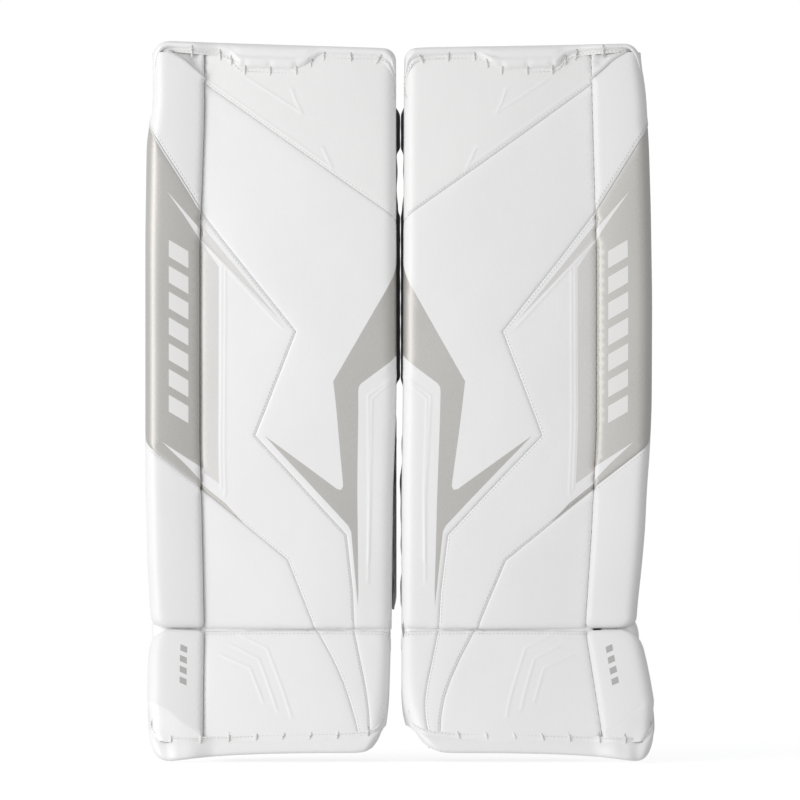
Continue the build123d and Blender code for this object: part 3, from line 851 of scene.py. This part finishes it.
def bind(name, edge, body, pad, rows, section, place, laces, reach, row, floor=-math.inf):
    """A binding with its laces and its row of stitches, which lies (inset, depth) on the flange."""
    obj, rows = edging(f"{name}_{edge}_binding_leather", pad, rows, section, place, floor)
    keep(obj, f"{name}_{body}", f"{name}_{edge}_binding", slot="white_leather", fill=0.8)
    loops = gather(lace_loops(pad, rows, section, place, laces, reach))
    keep(make(f"{name}_{edge}_lacing", *loops, [LACE], closed=True), f"{name}_{body}", f"{name}_{edge}_laces",
         slot="lace")
    line = along_flange(pad, rows, place, *row)
    sew(f"{name}_{edge}_stitches", f"{name}_{body}", stitch_parts(line, np.tile([0.0, -1.0, 0.0], (len(line), 1))))


def round_section(h, flange, reach, lip, share, front, side, back):
    """A binding h high in section, from its flange over the front and the edge to reach behind it.

    Gives the share of the way from flange to silhouette and the depth behind the face, for each point.
    """
    flange = min(flange, 0.3 * h)
    start = (flange + 0.7) / h
    f = np.concatenate([[0, 0, 0.45 * flange / h, flange / h, start], start + share * (1 - start), [1, 1, 1, 1],
                        1 - np.array([0.2, 0.6, 1.0, 1.0]) * min(reach, h) / h])
    d = np.concatenate([lip, front, side, back])
    return f, np.where(d < 0, d * min(1, h / 11), d)


TOP_LACES = (25, 56, 86, 101, 117, 146.5, 175, 191, 203, 235)
SCOOP = ((88, 0), (106, 1), (178, 1), (192, 0))


def top_section(x, h):
    """The top binding: plain, folded down between the laces of the scoop, and drawn in at each lace."""
    w = smoothstep(np.interp(x, *zip(*SCOOP)))
    pucker = sum(math.exp(-(((x - lace) / 3.5) ** 2)) for lace in TOP_LACES)
    share = np.array([0.12, 0.28, 0.42, 0.52, 0.64, 0.8, 0.93])
    plain = np.array([-3.2, -5.0, -6.0, -6.3, -6.2, -5.4, -3.4])
    folded = np.array([-7.0, -9.0, -9.2, -6.6, -7.6, -7.6, -4.6])
    drawn_in = 1 - pucker * np.array([0.2, 0.08, 0.02, 0, 0, 0, 0])
    return round_section(h, 4.8, 22, [1.2, -1.5, -2.4, -2.2, -0.9], share, (plain + w * (folded - plain)) * drawn_in,
                         [2, 14, 28, 39], [44.5, 46.5, 46.5, 44.2])


def build_top(name, pad):
    def height(x):
        return float(np.interp(x, *zip(*pad["top"])))

    def corner(x, r, turn, flange):
        """Rows round a corner of the silhouette, from turn degrees on, with the flange's points."""
        for k, point in enumerate(flange):
            a = math.radians(turn - 18 * k)
            yield (x + r * math.cos(a), height(x) - r + r * math.sin(a), *point)
    low_x, low_z = zip((27, 787), (88, 788.5), (96, 783), (106, 776), (120, 771), (181, 773.5), (187, 781), (192, 787),
                       (205, 792.5), (222, 794.5), (262, 797))
    rows = [(7, 745, 8, 747), (4.4, 752, 5.2, 754), (4, 760, 5.6, 762), (4, 771, 7.5, 770), (4, 781, 10.5, 777)]
    rows += corner(18, 14, 180, ((13, 780), (15, 783), (18, 785), (21, 786), (24, 786.5), (27, 787)))
    rows += [(x, height(x), x, float(np.interp(x, low_x, low_z))) for x in np.arange(32, 262, 6.0)]
    rows += corner(265, 20, 90, ((262, 797), (266, 795.5), (269, 793), (271.5, 789.5), (273.5, 785), (275.5, 780)))
    rows += [(285, 778, 278, 773), (285, 768, 281, 766), (284.4, 758, 281, 759), (282, 749, 278.5, 751),
             (278, 744, 276, 746)]
    bind(name, "top", "shin", pad, rows, top_section, over_top, TOP_LACES, 9.5, (2.4, -2.5))


TOE_ROWS = [(7, 58, 8, 61), (4.5, 50, 5.5, 53), (4, 44, 6, 48), (4, 34, 8, 43.5), (4.3, 25, 11, 40.5),
            (6.5, 18, 14.5, 38.5), (11.5, 13.2, 19, 37), (20, 11, 25, 36), (36, 10.6, 38, 35), (62, 10.6, 62, 33.8),
            (92, 10.5, 92, 33.5),
            (140, 9.8, 140, 32.5), (180, 8.4, 180, 31), (202, 7.2, 202, 30), (230, 5, 230, 29), (252, 2.6, 252, 29.2),
            (265, 1.6, 262, 30), (275, 4, 269, 31.5), (281.5, 11, 275, 34), (284.4, 22, 279.5, 38.5),
            (284.6, 34, 281, 43), (283, 44, 279, 49), (279, 49, 276, 52)]


def toe_section(x, h):
    """The toe binding, which is the same all along, so x makes no difference."""
    share = np.array([0.12, 0.3, 0.5, 0.7, 0.86, 0.96])
    return round_section(h, 4.5, 20, [1.2, -1.3, -2.0, -1.9, -0.9], share, [-2.0, -2.8, -2.9, -2.4, -1.2, 0.8],
                         [4, 16, 30, 40], [45, 46.5, 46.5, 44.5])


def build_toe(name, pad):
    xi, xv, xo = (float(pad["boot_" + key](30)) for key in ("inner", "valley", "outer"))
    laces = [INNER + (x - xi) * (VALLEY - INNER) / (xv - xi) if x < xv
             else VALLEY + (x - xv) * (OUTER - VALLEY) / (xo - xv)
             for x in (pad["toe_first"] + 31 * k for k in range(pad["toe_count"]))]
    bind(name, "toe", "boot", pad, TOE_ROWS, toe_section, over_toe, laces, 7.5, (2.2, -2.1), floor=0.2)


# ---------------------------------------------------------------- ankle gusset and edge linings
def bend(obj, name):
    """Bakes a piece's placement into its mesh."""
    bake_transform(obj)


def build_gusset(name, pad):
    """Gathered fabric round the sides and back of the boot break."""
    def line(inner, outer):
        xi, xo = float(inner) + 2.6, float(outer) - 2.6
        return resample(softened([(xi, 5), (xi, 41), (xo, 41), (xo, -1), (VALLEY + 22, 3), (VALLEY + 5, 6)], 2), 4.0)
    top = line(pad["inner"](156), pad["outer"](170))
    low = line(pad["boot_inner"](140), pad["boot_outer"](140))
    share, own = (np.linspace(0, 1, len(k)) for k in (top, low))
    low = np.stack([np.interp(share, own, low[:, k]) for k in (0, 1)], axis=1)
    run = np.arange(len(share)) * 4.0
    out = sideways(top)
    out *= -1 if (out[len(out) // 2, 1] < 0) else 1
    grid = []
    for r in np.linspace(0, 1, 13):
        bulge = 1.6 * math.sin(math.pi * r) + 0.9 * np.sin(run / 3.1 + 5 * r) * math.sin(math.pi * r)
        a, b = (row + out * bulge[:, None] for row in (top, low))
        p = upright(pad, a[:, 0], a[:, 1], np.full(len(a), ANKLE + 10.0))
        q = tilted(pad, b[:, 0], b[:, 1], np.full(len(b), ANKLE - 10.0))
        grid.append(p * (1 - r) + q * r)
    obj = make(f"{name}_ankle_gusset", np.concatenate(grid), grid_faces(13, len(share)), [WHITE])
    soften(obj, 1)
    bend(obj, name)


def build_fold(name, pad):
    """The leather that runs on from the face to the boot, at the bottom of the crease between them."""
    x = np.arange(INNER + 0.6, VALLEY + 9, 2.5)
    deep = 2.4 + np.minimum(edge_depth(x), 9) + 1.2 * smoothstep((x - VALLEY + 4) / 4)
    steps = (8, 5, 2.5, 0.8)
    grid = [upright(pad, drawn_x(pad, x, ANKLE + up), deep + 0.12 * up, ANKLE + up + 0 * x) for up in steps]
    grid += [tilted(pad, drawn_x(pad, x, ANKLE - down, "boot_"), deep + 0.12 * down, ANKLE - down + 0 * x)
             for down in steps[::-1]]
    bend(make(f"{name}_ankle_fold", np.concatenate(grid), grid_faces(8, len(x)), [WHITE]), name)


def build_edge_lining(name, pad):
    """Dark lining that shows in ruffles behind the inner edge."""
    z = np.arange(168, 738, 3.0)
    shown = np.clip(np.minimum(abs(z - 396) - 20, np.minimum(z - 166, 740 - z)) / 12, 0, 1)
    ruffle = 1.5 + 0.5 * np.sin(z / 6.1) + 0.5 * np.sin(z / 9.7 + 1) + 0.7 * np.sin(z / 23 + pad["side"])
    # where the lining fills the gap between the pads
    near = sum(smoothstep((z - low) / 8) * smoothstep((high - z) / 8) for low, high in ((424, 620), (682, 738)))
    between = pad["inner"](z) + 0.8 - 0.25 * np.cos(z / 8.3) ** 2
    out = (np.clip(ruffle, 0.2, 3) * (1 - near) + between * near) * shown
    grid = [upright(pad, pad["inner"](z) + 1.2 - out * k - 0.6 * (k > 0) * shown, np.full(len(z), d), z)
            for d, k in ((21, 0), (25, 0.55), (31, 1.0), (38, 0.9), (43.5, 0))]
    obj = make(f"{name}_edge_lining", np.concatenate(grid), grid_faces(5, len(z)), [LINING])
    soften(obj, 1)
    keep(obj, f"{name}_shin", f"{name}_inner_gusset", slot="lining_nylon")


# ---------------------------------------------------------------- the leg side's linings
def build_backs(name, pad):
    surface = back_surface(pad, upright, ANKLE)
    ring = [(INNER + 2, ANKLE + 3), (VALLEY + 2, ANKLE + 3), (VALLEY + 2, 790), (INNER + 2, 790)]
    quilting = [(SOFT, np.array([(x, ANKLE + 14), (x, 780)], float)) for x in (58.0, 134.0, 208.0)]
    quilting += [(SOFT, np.array([(14, z), (212, z)], float)) for z in (590.0, 690.0, 760.0)]
    obj = panel(f"{name}_back_lining", surface, ring, quilting, [], [LINING], spacing=7)
    keep(obj, f"{name}_shin", f"{name}_back_panel", slot="lining_nylon", fill=0.3)
    boot = back_surface(pad, tilted, 20, "boot_")
    ring = [(INNER + 3, 62), (22, 42), (36, 30), (VALLEY + 2, 30), (VALLEY + 2, ANKLE - 3), (INNER + 3, ANKLE - 3)]
    quilting = [(SOFT, np.array([(14, z), (212, z)], float)) for z in (60.0, 104.0)]
    obj = panel(f"{name}_boot_back_lining", boot, ring, quilting, [], [LINING], spacing=7)
    keep(obj, f"{name}_boot", slot="lining_nylon", fill=0.3)


for side, pad in PADS.items():
    for build in (build_face, build_roll, build_top, build_boot, build_boot_roll, build_toe, build_gusset, build_fold,
                  build_edge_lining, build_backs):
        build(side, pad)

# ---------------------------------------------------------------- padded pieces, wings and straps of the leg side
STACK = woven("stack_fabric", (0.78, 0.78, 0.765), 0.0012, rough=0.7, depth=0.0004, contrast=0.2)
WEBBING = woven("strap_webbing", (0.60, 0.60, 0.59), 0.0022, rough=0.7, depth=0.0007, contrast=0.35)
RUBBER = leather("tab_rubber", (0.10, 0.10, 0.105), rough=0.55, grain=0.5)
CUSHION_CORD = 1.3
SWELL_IN, VOXEL, SWELL_FRAMES = 2.2, 4.5, 20  # how far in a cushion starts, its mesh size, how long it is simulated


def side_on(a, b, c):
    """An outline in (depth, height) that is c thick across."""
    return np.stack([c, a + FACE_Y, b], axis=-1)


def back_on(a, b, c):
    """An outline in (X, height) that is c thick in depth, following the thigh's lean."""
    return np.stack([a, c + lean(b) + FACE_Y, b], axis=-1)


def rounded(corners, radii):
    """An outline with each corner rounded by its own radius."""
    out = []
    corners = np.asarray(corners, float)
    for k, (corner, r) in enumerate(zip(corners, radii)):
        before, after = corners[k - 1] - corner, corners[(k + 1) % len(corners)] - corner
        before, after = before / np.linalg.norm(before), after / np.linalg.norm(after)
        if not r:
            out.append(corner)
            continue
        for t in np.linspace(0, 1, 7):
            out.append(corner + r * (before * (1 - t) ** 2 + after * t**2))
    return np.array(out)


def evaluated(obj):
    """Replaces an object's mesh by what its modifiers make of it."""
    bpy.context.view_layer.update()
    mesh = bpy.data.meshes.new_from_object(obj.evaluated_get(bpy.context.evaluated_depsgraph_get()))
    obj.modifiers.clear()
    obj.data = mesh


def coordinates(mesh):
    co = np.empty(len(mesh.vertices) * 3)
    mesh.vertices.foreach_get("co", co)
    return co.reshape(-1, 3) * 1000


def swelled(outline, low, high, cap):
    """A slab of this outline between two values across it, swelled by cloth simulation: (points, faces)."""
    outline = np.asarray(outline, float)
    lo, hi = outline.min(axis=0), outline.max(axis=0)
    middle, half = (lo + hi) / 2, (hi - lo) / 2
    small = middle + (outline - middle) * (1 - SWELL_IN / half)
    n = len(small)
    c = np.concatenate([np.full(n, low + SWELL_IN * 0.7), np.full(n, high - SWELL_IN * 0.7)])
    faces = [tuple(range(n)), tuple(range(n, 2 * n))] + [(i, (i + 1) % n, n + (i + 1) % n, n + i) for i in range(n)]
    obj = make("swelling", np.column_stack([np.vstack([small, small]), c]), faces, [], closed=True)
    remesh = obj.modifiers.new("remesh", "REMESH")
    remesh.mode, remesh.voxel_size = "VOXEL", VOXEL * MM
    evaluated(obj)
    start = coordinates(obj.data)
    cloth = obj.modifiers.new("cloth", "CLOTH")
    settings = cloth.settings
    settings.use_pressure = True
    settings.uniform_pressure_force = 4.0
    settings.effector_weights.gravity = 0
    cloth.point_cache.frame_start, cloth.point_cache.frame_end = 1, SWELL_FRAMES
    for step in range(1, SWELL_FRAMES + 1):
        bpy.context.scene.frame_set(step)
    evaluated(obj)
    bpy.context.scene.frame_set(1)
    p = coordinates(obj.data)
    move = p - start
    far = np.linalg.norm(move, axis=1, keepdims=True)
    p = start + move * np.minimum(1, cap / np.maximum(far, 1e-6))
    p = np.clip(p, [lo[0], lo[1], low], [hi[0], hi[1], high])
    faces = [tuple(f.vertices) for f in obj.data.polygons]
    bpy.data.objects.remove(obj)
    return p, faces


def pair(name, points, faces, materials, slots=None, levels=0, closed=False):
    """The same piece for both pads, mirrored: yields (side, object)."""
    for side, sign in (("left", 1), ("right", -1)):
        turned = [f[::-1] for f in faces] if sign < 0 else faces
        obj = make(f"{side}_{name}", points * [sign, 1, 1], turned, materials, slots, closed=closed)
        if levels:
            soften(obj, levels)
        yield side, obj


def cushion(name, body, node, outline, low, high, arrange, materials, slot, fill, lining=None, channels=(), cap=5.0,
            piping=(0.5,), cord_material=PIPING_SEAM_SHADE):
    """A padded piece with piping round its edge, at shares of its thickness, and sewn channels across it."""
    p, faces = swelled(outline, low, high, cap)
    middle = (low + high) / 2
    for line in channels:
        d = distance(p[:, :2], np.asarray(line, float))
        p[:, 2] -= 2.2 * np.exp(-((d / 4.0) ** 2)) * (p[:, 2] > middle)
    ring = resample(looped(outline), 3.0)
    tree = BVHTree.FromPolygons([Vector(v) for v in p], faces)
    loops = []
    for share in piping:
        loop = [tree.find_nearest(Vector((a, b, low + (high - low) * share)))[0] for a, b in ring]
        loops.append(np.array([tuple(v) for v in loop]))
    slots = None
    if lining is not None:
        side_of = np.array([np.mean([p[i, 2] for i in f]) for f in faces])
        slots = (side_of < middle).astype(int) if lining == "low" else (side_of > middle).astype(int)
    q = arrange(p[:, 0], p[:, 1], p[:, 2])
    for side, obj in pair(name, q, faces, materials, slots, levels=1, closed=True):
        keep(obj, f"{side}_{body}", f"{side}_{node}", slot=slot, fill=fill)
    # the piping's default grey is painted seam shade
    cords = [tube(arrange(*loop.T), CUSHION_CORD) for loop in loops]
    for side, obj in pair(name + "_piping", *gather(cords), [cord_material], closed=True):
        keep(obj, f"{side}_{body}", slot="white_leather")
    return p, faces


def wing(name, body, node, outline, x0, x1, sewn):
    """A stiff flap: leather outside, nylon inside, piped, with a row of stitches along its edge on both faces."""
    p, faces = cushion(name, body, node, outline, x0, x1, side_on, [WHITE, LINING], "white_leather", 0.8,
                       lining="low" if x1 > 100 else "high", cap=3.0)
    tree = BVHTree.FromPolygons([Vector(v) for v in p], faces)
    lo, hi = outline.min(axis=0), outline.max(axis=0)
    middle, half = (lo + hi) / 2, (hi - lo) / 2
    ring = middle + (resample(looped(outline), 2.0) - middle) * (1 - sewn / half)
    threads = []
    for start, way in ((x0 - 20, 1.0), (x1 + 20, -1.0)):
        hits = [tree.ray_cast(Vector((a, b, start)), Vector((0, 0, way))) for a, b in ring]
        line = np.array([tuple(h[0]) for h in hits if h[0] is not None])
        threads += stitch_parts(side_on(*line.T), np.tile([-way, 0.0, 0.0], (len(line), 1)), lift=0.3, radius=0.35)
    for side, obj in pair(name + "_stitches", *gather(threads), [THREAD], closed=True):
        keep(obj, f"{side}_{body}", slot="lace")


def blocks():
    depth = (45.4, 139.6)
    outline = rounded([(depth[0], 405), (depth[1], 405), (depth[1], 575), (depth[0], 575)], (2, 9, 9, 2))
    cushion("knee_slide_pad", "shin", "knee_slide_block", outline, 4.7, 26.8, side_on, [WHITE], "white_leather", 0.8,
            piping=(0.08, 0.92))
    cushion("knee_stack_pad", "shin", "knee_stack_foam", outline, 27.2, 48.8, side_on, [STACK], "stack_foam", 0.8,
            piping=(0.08, 0.92), channels=[[(40, 462), (150, 462)], [(40, 518), (150, 518)]])
    cushion("knee_face_pad", "shin", "knee_pad", outline, 49.2, 67.8, side_on, [LINING], "stack_foam", 0.8,
            piping=(0.1, 0.9), channels=[[(40, 448), (150, 448)], [(40, 490), (150, 490)], [(40, 532), (150, 532)]])
    wedge = rounded([(45.4, 168), (82, 168), (110, 240), (110, 401), (45.4, 401)], (2, 9, 16, 9, 2))
    cushion("calf_wedge_pad", "shin", "calf_wedge", wedge, 4.5, 47, side_on, [WHITE], "white_leather", 0.8,
            piping=(0.05, 0.95))
    channel = rounded([(72, 165), (196, 165), (196, 745), (72, 745)], (30, 30, 30, 30))
    rows = [[(60, z), (208, z)] for z in np.arange(223, 740, 58.0)]
    cushion("leg_channel_quilt", "shin", "leg_channel_pad", channel, 45.4, 55.4, back_on, [LINING], "lining_nylon",
            0.5, piping=(0.3,), channels=rows, cord_material=LINING, cap=4.0)


def wings():
    wing("calf_wing_flap", "calf_wing", "calf_wing", rounded([(46, 190), (140, 190), (140, 388), (46, 388)],
         (3, 30, 30, 3)), 199, 211, 8)
    wing("knee_wing_flap", "knee_wing", "knee_wing", rounded([(46, 412), (126, 412), (126, 566), (46, 566)],
         (3, 25, 25, 3)), 199, 211, 8)
    boot = rounded([(-6, 23), (95, 10), (95, 118), (37.5, 118)], (4, 10, 24, 4))
    wing("boot_outer_flap", "boot_outer_wing", "boot_outer_wing", boot, 199, 209, 7)
    wing("boot_inner_flap", "boot_inner_wing", "boot_inner_wing", boot, 28, 38, 7)


def arc_through(a, b, c, n=26):
    """Points of the arc through three points."""
    a, b, c = (np.asarray(p, float) for p in (a, b, c))
    m = np.array([b - a, c - a]) * 2
    centre = np.linalg.solve(m, [b @ b - a @ a, c @ c - a @ a])
    start, end = (math.atan2(*(p - centre)[::-1]) for p in (a, c))
    if end < start:
        end += 2 * math.pi
    t = np.linspace(start, end, n)
    r = np.linalg.norm(a - centre)
    return centre + r * np.stack([np.cos(t), np.sin(t)], axis=1)


def band(line, z0, z1, thick):
    """A flat woven band on edge along a line seen from above: (points, faces) with rounded edges."""
    line = resample(line, 4.0)
    side = sideways(line)
    half = thick / 2
    edge = 0.8
    section = [(-half, z0 + edge), (-half * 0.6, z0), (half * 0.6, z0), (half, z0 + edge)]
    section += [(half, z) for z in np.linspace(z0 + 3, z1 - 3, 9)]
    section += [(half, z1 - edge), (half * 0.6, z1), (-half * 0.6, z1), (-half, z1 - edge)]
    section += [(-half, z) for z in np.linspace(z1 - 3, z0 + 3, 9)]
    section = np.array(section)
    rib = 0.12 * np.sin(section[:, 1] * 2 * math.pi / 8)
    push = section[:, 0] + np.sign(section[:, 0]) * rib
    x = line[:, 0:1] + side[:, 0:1] * push
    y = line[:, 1:2] + side[:, 1:2] * push
    z = np.broadcast_to(section[:, 1], x.shape)
    n = len(section)
    faces = grid_faces(len(line), n, closed=True) + end_faces(len(line), n)
    return np.stack([x, y + FACE_Y, z], axis=-1).reshape(-1, 3), faces


def plate(outline, hole, y0, y1, ribs, step=2.2):
    """A flat, ribbed piece facing the leg, from its outline in (X, Z), with an optional round hole (X, Z, radius)."""
    ring = resample(looped(outline), step)[:-1]
    loops = [ring]
    if hole is not None:
        x, z, r = hole
        a = np.arange(28) * 2 * math.pi / 28
        loops.append(np.stack([x + r * np.cos(a), z + r * np.sin(a)], axis=1))
    verts, edges = [], []
    for loop in loops:
        start = len(verts)
        verts += [Vector(p) for p in loop]
        edges += [(start + i, start + (i + 1) % len(loop)) for i in range(len(loop))]
    lo, hi = ring.min(axis=0), ring.max(axis=0)
    inner = np.array([(x, z) for x in np.arange(lo[0], hi[0], step) for z in np.arange(lo[1], hi[1], step)])
    ok = within(inner, ring) & (distance(inner, looped(ring)) > step * 0.6)
    if hole is not None:
        ok &= np.hypot(inner[:, 0] - hole[0], inner[:, 1] - hole[1]) > hole[2] + step * 0.5
    verts += [Vector(p) for p in inner[ok]]
    out = delaunay_2d_cdt(verts, edges, [], 0, 1e-3)
    uv = np.array([tuple(v) for v in out[0]])
    tris = np.array([tuple(f) for f in out[2]])
    mid = uv[tris].mean(axis=1)
    good = within(mid, ring)
    if hole is not None:
        good &= ~within(mid, loops[1])
    tris = tris[good]
    rim = np.min([distance(uv, looped(loop)) for loop in loops], axis=0)
    soft = -0.5 * np.exp(-rim / 0.6)
    front = y1 + soft + ribs(uv) * (rim > 2.5)
    back = y0 - soft
    n = len(uv)
    points = np.concatenate([np.stack([uv[:, 0], y + FACE_Y, uv[:, 1]], axis=-1) for y in (front, back)])
    count = {}
    for t in tris:
        for i in range(3):
            e = tuple(sorted((t[i], t[(i + 1) % 3])))
            count[e] = count.get(e, 0) + 1
    walls = [(a, b, b + n, a + n) for (a, b), k in count.items() if k == 1]
    return points, [tuple(t) for t in tris] + [tuple(t[::-1] + n) for t in tris] + walls


def straps():
    # name, start, middle and landing of the arc, end, height from and to, the tab's X from and to, and its depth
    sets = (("calf", (205, 142.5), (126, 154.5), (51, 111.9), (9, 111.9), 262, 312, (10, 44), 113.8),
            ("knee", (205, 128.5), (138.5, 152), (72, 141.9), (9, 141.9), 468, 518, (10, 44), 143.8),
            ("boot", (204, 97.5), (115, 111.5), (45, 97.5), (19, 97.5), 58, 88, (20, 41), 99.4))
    for name, start, middle, landing, end, z0, z1, tab, tab_y in sets:
        body = f"{name}_strap"
        line = np.vstack([arc_through(start, middle, landing), [end]])
        line = line[::-1] if line[0, 0] < line[-1, 0] else line
        for side, obj in pair(f"{name}_strap_webbing", *band(line, z0, z1, 3.0), [WEBBING], closed=True):
            keep(obj, f"{side}_{body}", f"{side}_{body}", slot="webbing")
        inset = 4 if name != "boot" else 2
        low, high = z0 + inset, z1 - inset
        box = rounded([(tab[0], low), (tab[1], low), (tab[1], high), (tab[0], high)], (6,) * 4)
        ribs = lambda uv: 0.5 * (np.sin(uv[:, 0] * 2 * math.pi / 5.0) > 0.2) * (uv[:, 0] < (tab[0] + tab[1]) / 2)
        grip = plate(box, None, tab_y, tab_y + 2, ribs, step=1.4)
        for side, obj in pair(f"{name}_strap_grip", *grip, [RUBBER], closed=True):
            keep(obj, f"{side}_{body}", f"{side}_{body}_tab", slot="tab_rubber")
        fine = resample(line, 1.5)
        run = run_along(fine)
        out = sideways(fine)
        out *= np.sign(out[len(out) // 2, 1])
        threads = []
        for at in (7, 11, 20, 24):
            k = int(np.argmin(abs(run - at)))
            p = fine[k] + out[k] * 1.5
            z = np.arange(z0 + 4, z1 - 4, 1.5)
            points = np.stack([np.full(len(z), p[0]), np.full(len(z), p[1] + FACE_Y), z], axis=1)
            threads += stitch_parts(points, np.tile([out[k][0], out[k][1], 0.0], (len(z), 1)), lift=0.2, radius=0.35)
        for z in (z0 + 3.5, z1 - 3.5):
            sewn = (run > 4) & (run < 27)
            q = fine[sewn] + out[sewn] * 1.5
            points = np.stack([q[:, 0], q[:, 1] + FACE_Y, np.full(len(q), z)], axis=1)
            n = np.concatenate([out[sewn], np.zeros((len(q), 1))], axis=1)
            threads += stitch_parts(points, n, lift=0.2, radius=0.35)
        for side, obj in pair(f"{name}_strap_stitches", *gather(threads), [THREAD], closed=True):
            keep(obj, f"{side}_{body}", slot="lace")
    # a leather patch folded round each wing's back edge, which holds its strap
    for name, body, x, back, z0, z1 in (("calf", "calf_wing", 205, 140, 258, 316),
                                        ("knee", "knee_wing", 205, 126, 464, 522),
                                        ("boot", "boot_outer_wing", 204, 95, 54, 92)):
        fold = [(x + 7.2, back - 24), (x + 7.2, back - 4), (x + 5.5, back + 1.6), (x, back + 2.0),
                (x - 5.5, back + 1.6), (x - 7.2, back - 4), (x - 7.2, back - 24)]
        patch = band(softened(fold, 2), z0, z1, 1.4)
        for side, obj in pair(f"{name}_strap_anchor", *patch, [WHITE], closed=True):
            keep(obj, f"{side}_{body}", slot="white_leather")


def bridges():
    outline = rounded([(95, 11.5), (135, 11.5), (135, 38), (95, 38)], (8, 8, 2, 2))
    welt = lambda uv: 0.5 * np.cos(uv[:, 1] * 2 * math.pi / 4.0) * (uv[:, 1] > 30)
    for side, obj in pair("toe_bridge_tab", *plate(outline, (115, 22, 5), 1.6, 6.4, welt), [WEBBING], closed=True):
        keep(obj, f"{side}_toe_bridge", f"{side}_toe_bridge", slot="webbing")
    a = np.linspace(0, 2 * math.pi, 41)
    ring = np.stack([115 + 6.1 * np.cos(a), np.full(41, 6.6 + FACE_Y), 22 + 6.1 * np.sin(a)], axis=1)
    for side, obj in pair("toe_bridge_eyelet", *tube(ring, 1.1), [EYELET], closed=True):
        keep(obj, f"{side}_toe_bridge", slot="webbing")


blocks()
wings()
straps()
bridges()

# ---------------------------------------------------------------- camera, light and floor
FAR, FRAME_W, SENSOR = 14.0, 0.8992, 36
STAGE_R = 28
camera = bpy.data.objects.new("camera", bpy.data.cameras.new("camera"))
camera.data.sensor_width = SENSOR
camera.data.lens = SENSOR * FAR / FRAME_W
camera.data.clip_end = 60
camera.location = (-0.0006, FACE_Y * MM - FAR, 0.406)
camera.rotation_euler = (math.radians(90), 0, 0)
bpy.context.scene.collection.objects.link(camera)
bpy.context.scene.camera = camera


def area_light(name, place, target, power, width, height):
    data = bpy.data.lights.new(name, "AREA")
    data.shape, data.size, data.size_y, data.energy = "RECTANGLE", width, height, power
    lamp = bpy.data.objects.new(name, data)
    lamp.location = place
    lamp.rotation_euler = (Vector(target) - Vector(place)).to_track_quat("-Z", "Y").to_euler()
    bpy.context.scene.collection.objects.link(lamp)


area_light("key", (-1.42, -1.25, 0.6), (-0.05, 0, 0.4), 17, 1.0, 1.8)
area_light("fill", (2.0, -2.4, 0.9), (0.1, 0, 0.4), 2, 1.6, 2.0)

world = bpy.data.worlds.new("studio")
bpy.context.scene.world = world
world.use_nodes = True
nodes, links = world.node_tree.nodes, world.node_tree.links
coord, split, across, glow = (nodes.new("ShaderNode" + kind)
                              for kind in ("TexCoord", "SeparateXYZ", "MapRange", "ValToRGB"))
across.inputs["From Min"].default_value = -1
links.new(coord.outputs["Generated"], split.inputs[0])
links.new(split.outputs["X"], across.inputs["Value"])
links.new(across.outputs["Result"], glow.inputs["Fac"])
glow.color_ramp.interpolation = "EASE"
# (place, level): how bright the room is by direction, from the viewer's left at 0 to the right at 1
ROOM = ((0, 0.56), (0.16, 0.70), (0.34, 1.06), (0.5, 0.71), (0.62, 0.49), (1, 0.46))
for k, (place, level) in enumerate(ROOM):
    stop = glow.color_ramp.elements[k] if k < 2 else glow.color_ramp.elements.new(place)
    stop.position, stop.color = place, (level, level, level, 1)
links.new(glow.outputs["Color"], nodes["Background"].inputs["Strength"])
nodes["Background"].inputs["Color"].default_value = (0.985, 0.99, 1, 1)
bpy.context.scene.view_settings.view_transform = "Standard"


def stage_piece(name, mesh, glow, grey):
    """Part of the studio: it shows, and the light of the room passes it, as in a light tent."""
    mat, nodes, links, shader = material(name, (grey, grey, grey), 0.95)
    shader.inputs["Emission Color"].default_value = (1, 1, 1, 1)
    shader.inputs["Emission Strength"].default_value = glow
    mesh.materials.append(mat)
    obj = bpy.data.objects.new(name, mesh)
    obj.visible_diffuse = obj.visible_glossy = obj.visible_shadow = False
    bpy.context.scene.collection.objects.link(obj)


disc, dome = bmesh.new(), bmesh.new()
bmesh.ops.create_circle(disc, cap_ends=True, segments=96, radius=STAGE_R)
bmesh.ops.create_uvsphere(dome, u_segments=64, v_segments=32, radius=STAGE_R)
for form, name, glow, grey in ((disc, "floor", 0.79, 0.25), (dome, "backdrop", 1.0, 0.0)):
    mesh = bpy.data.meshes.new(name)
    form.to_mesh(mesh)
    form.free()
    stage_piece(name, mesh, glow, grey)
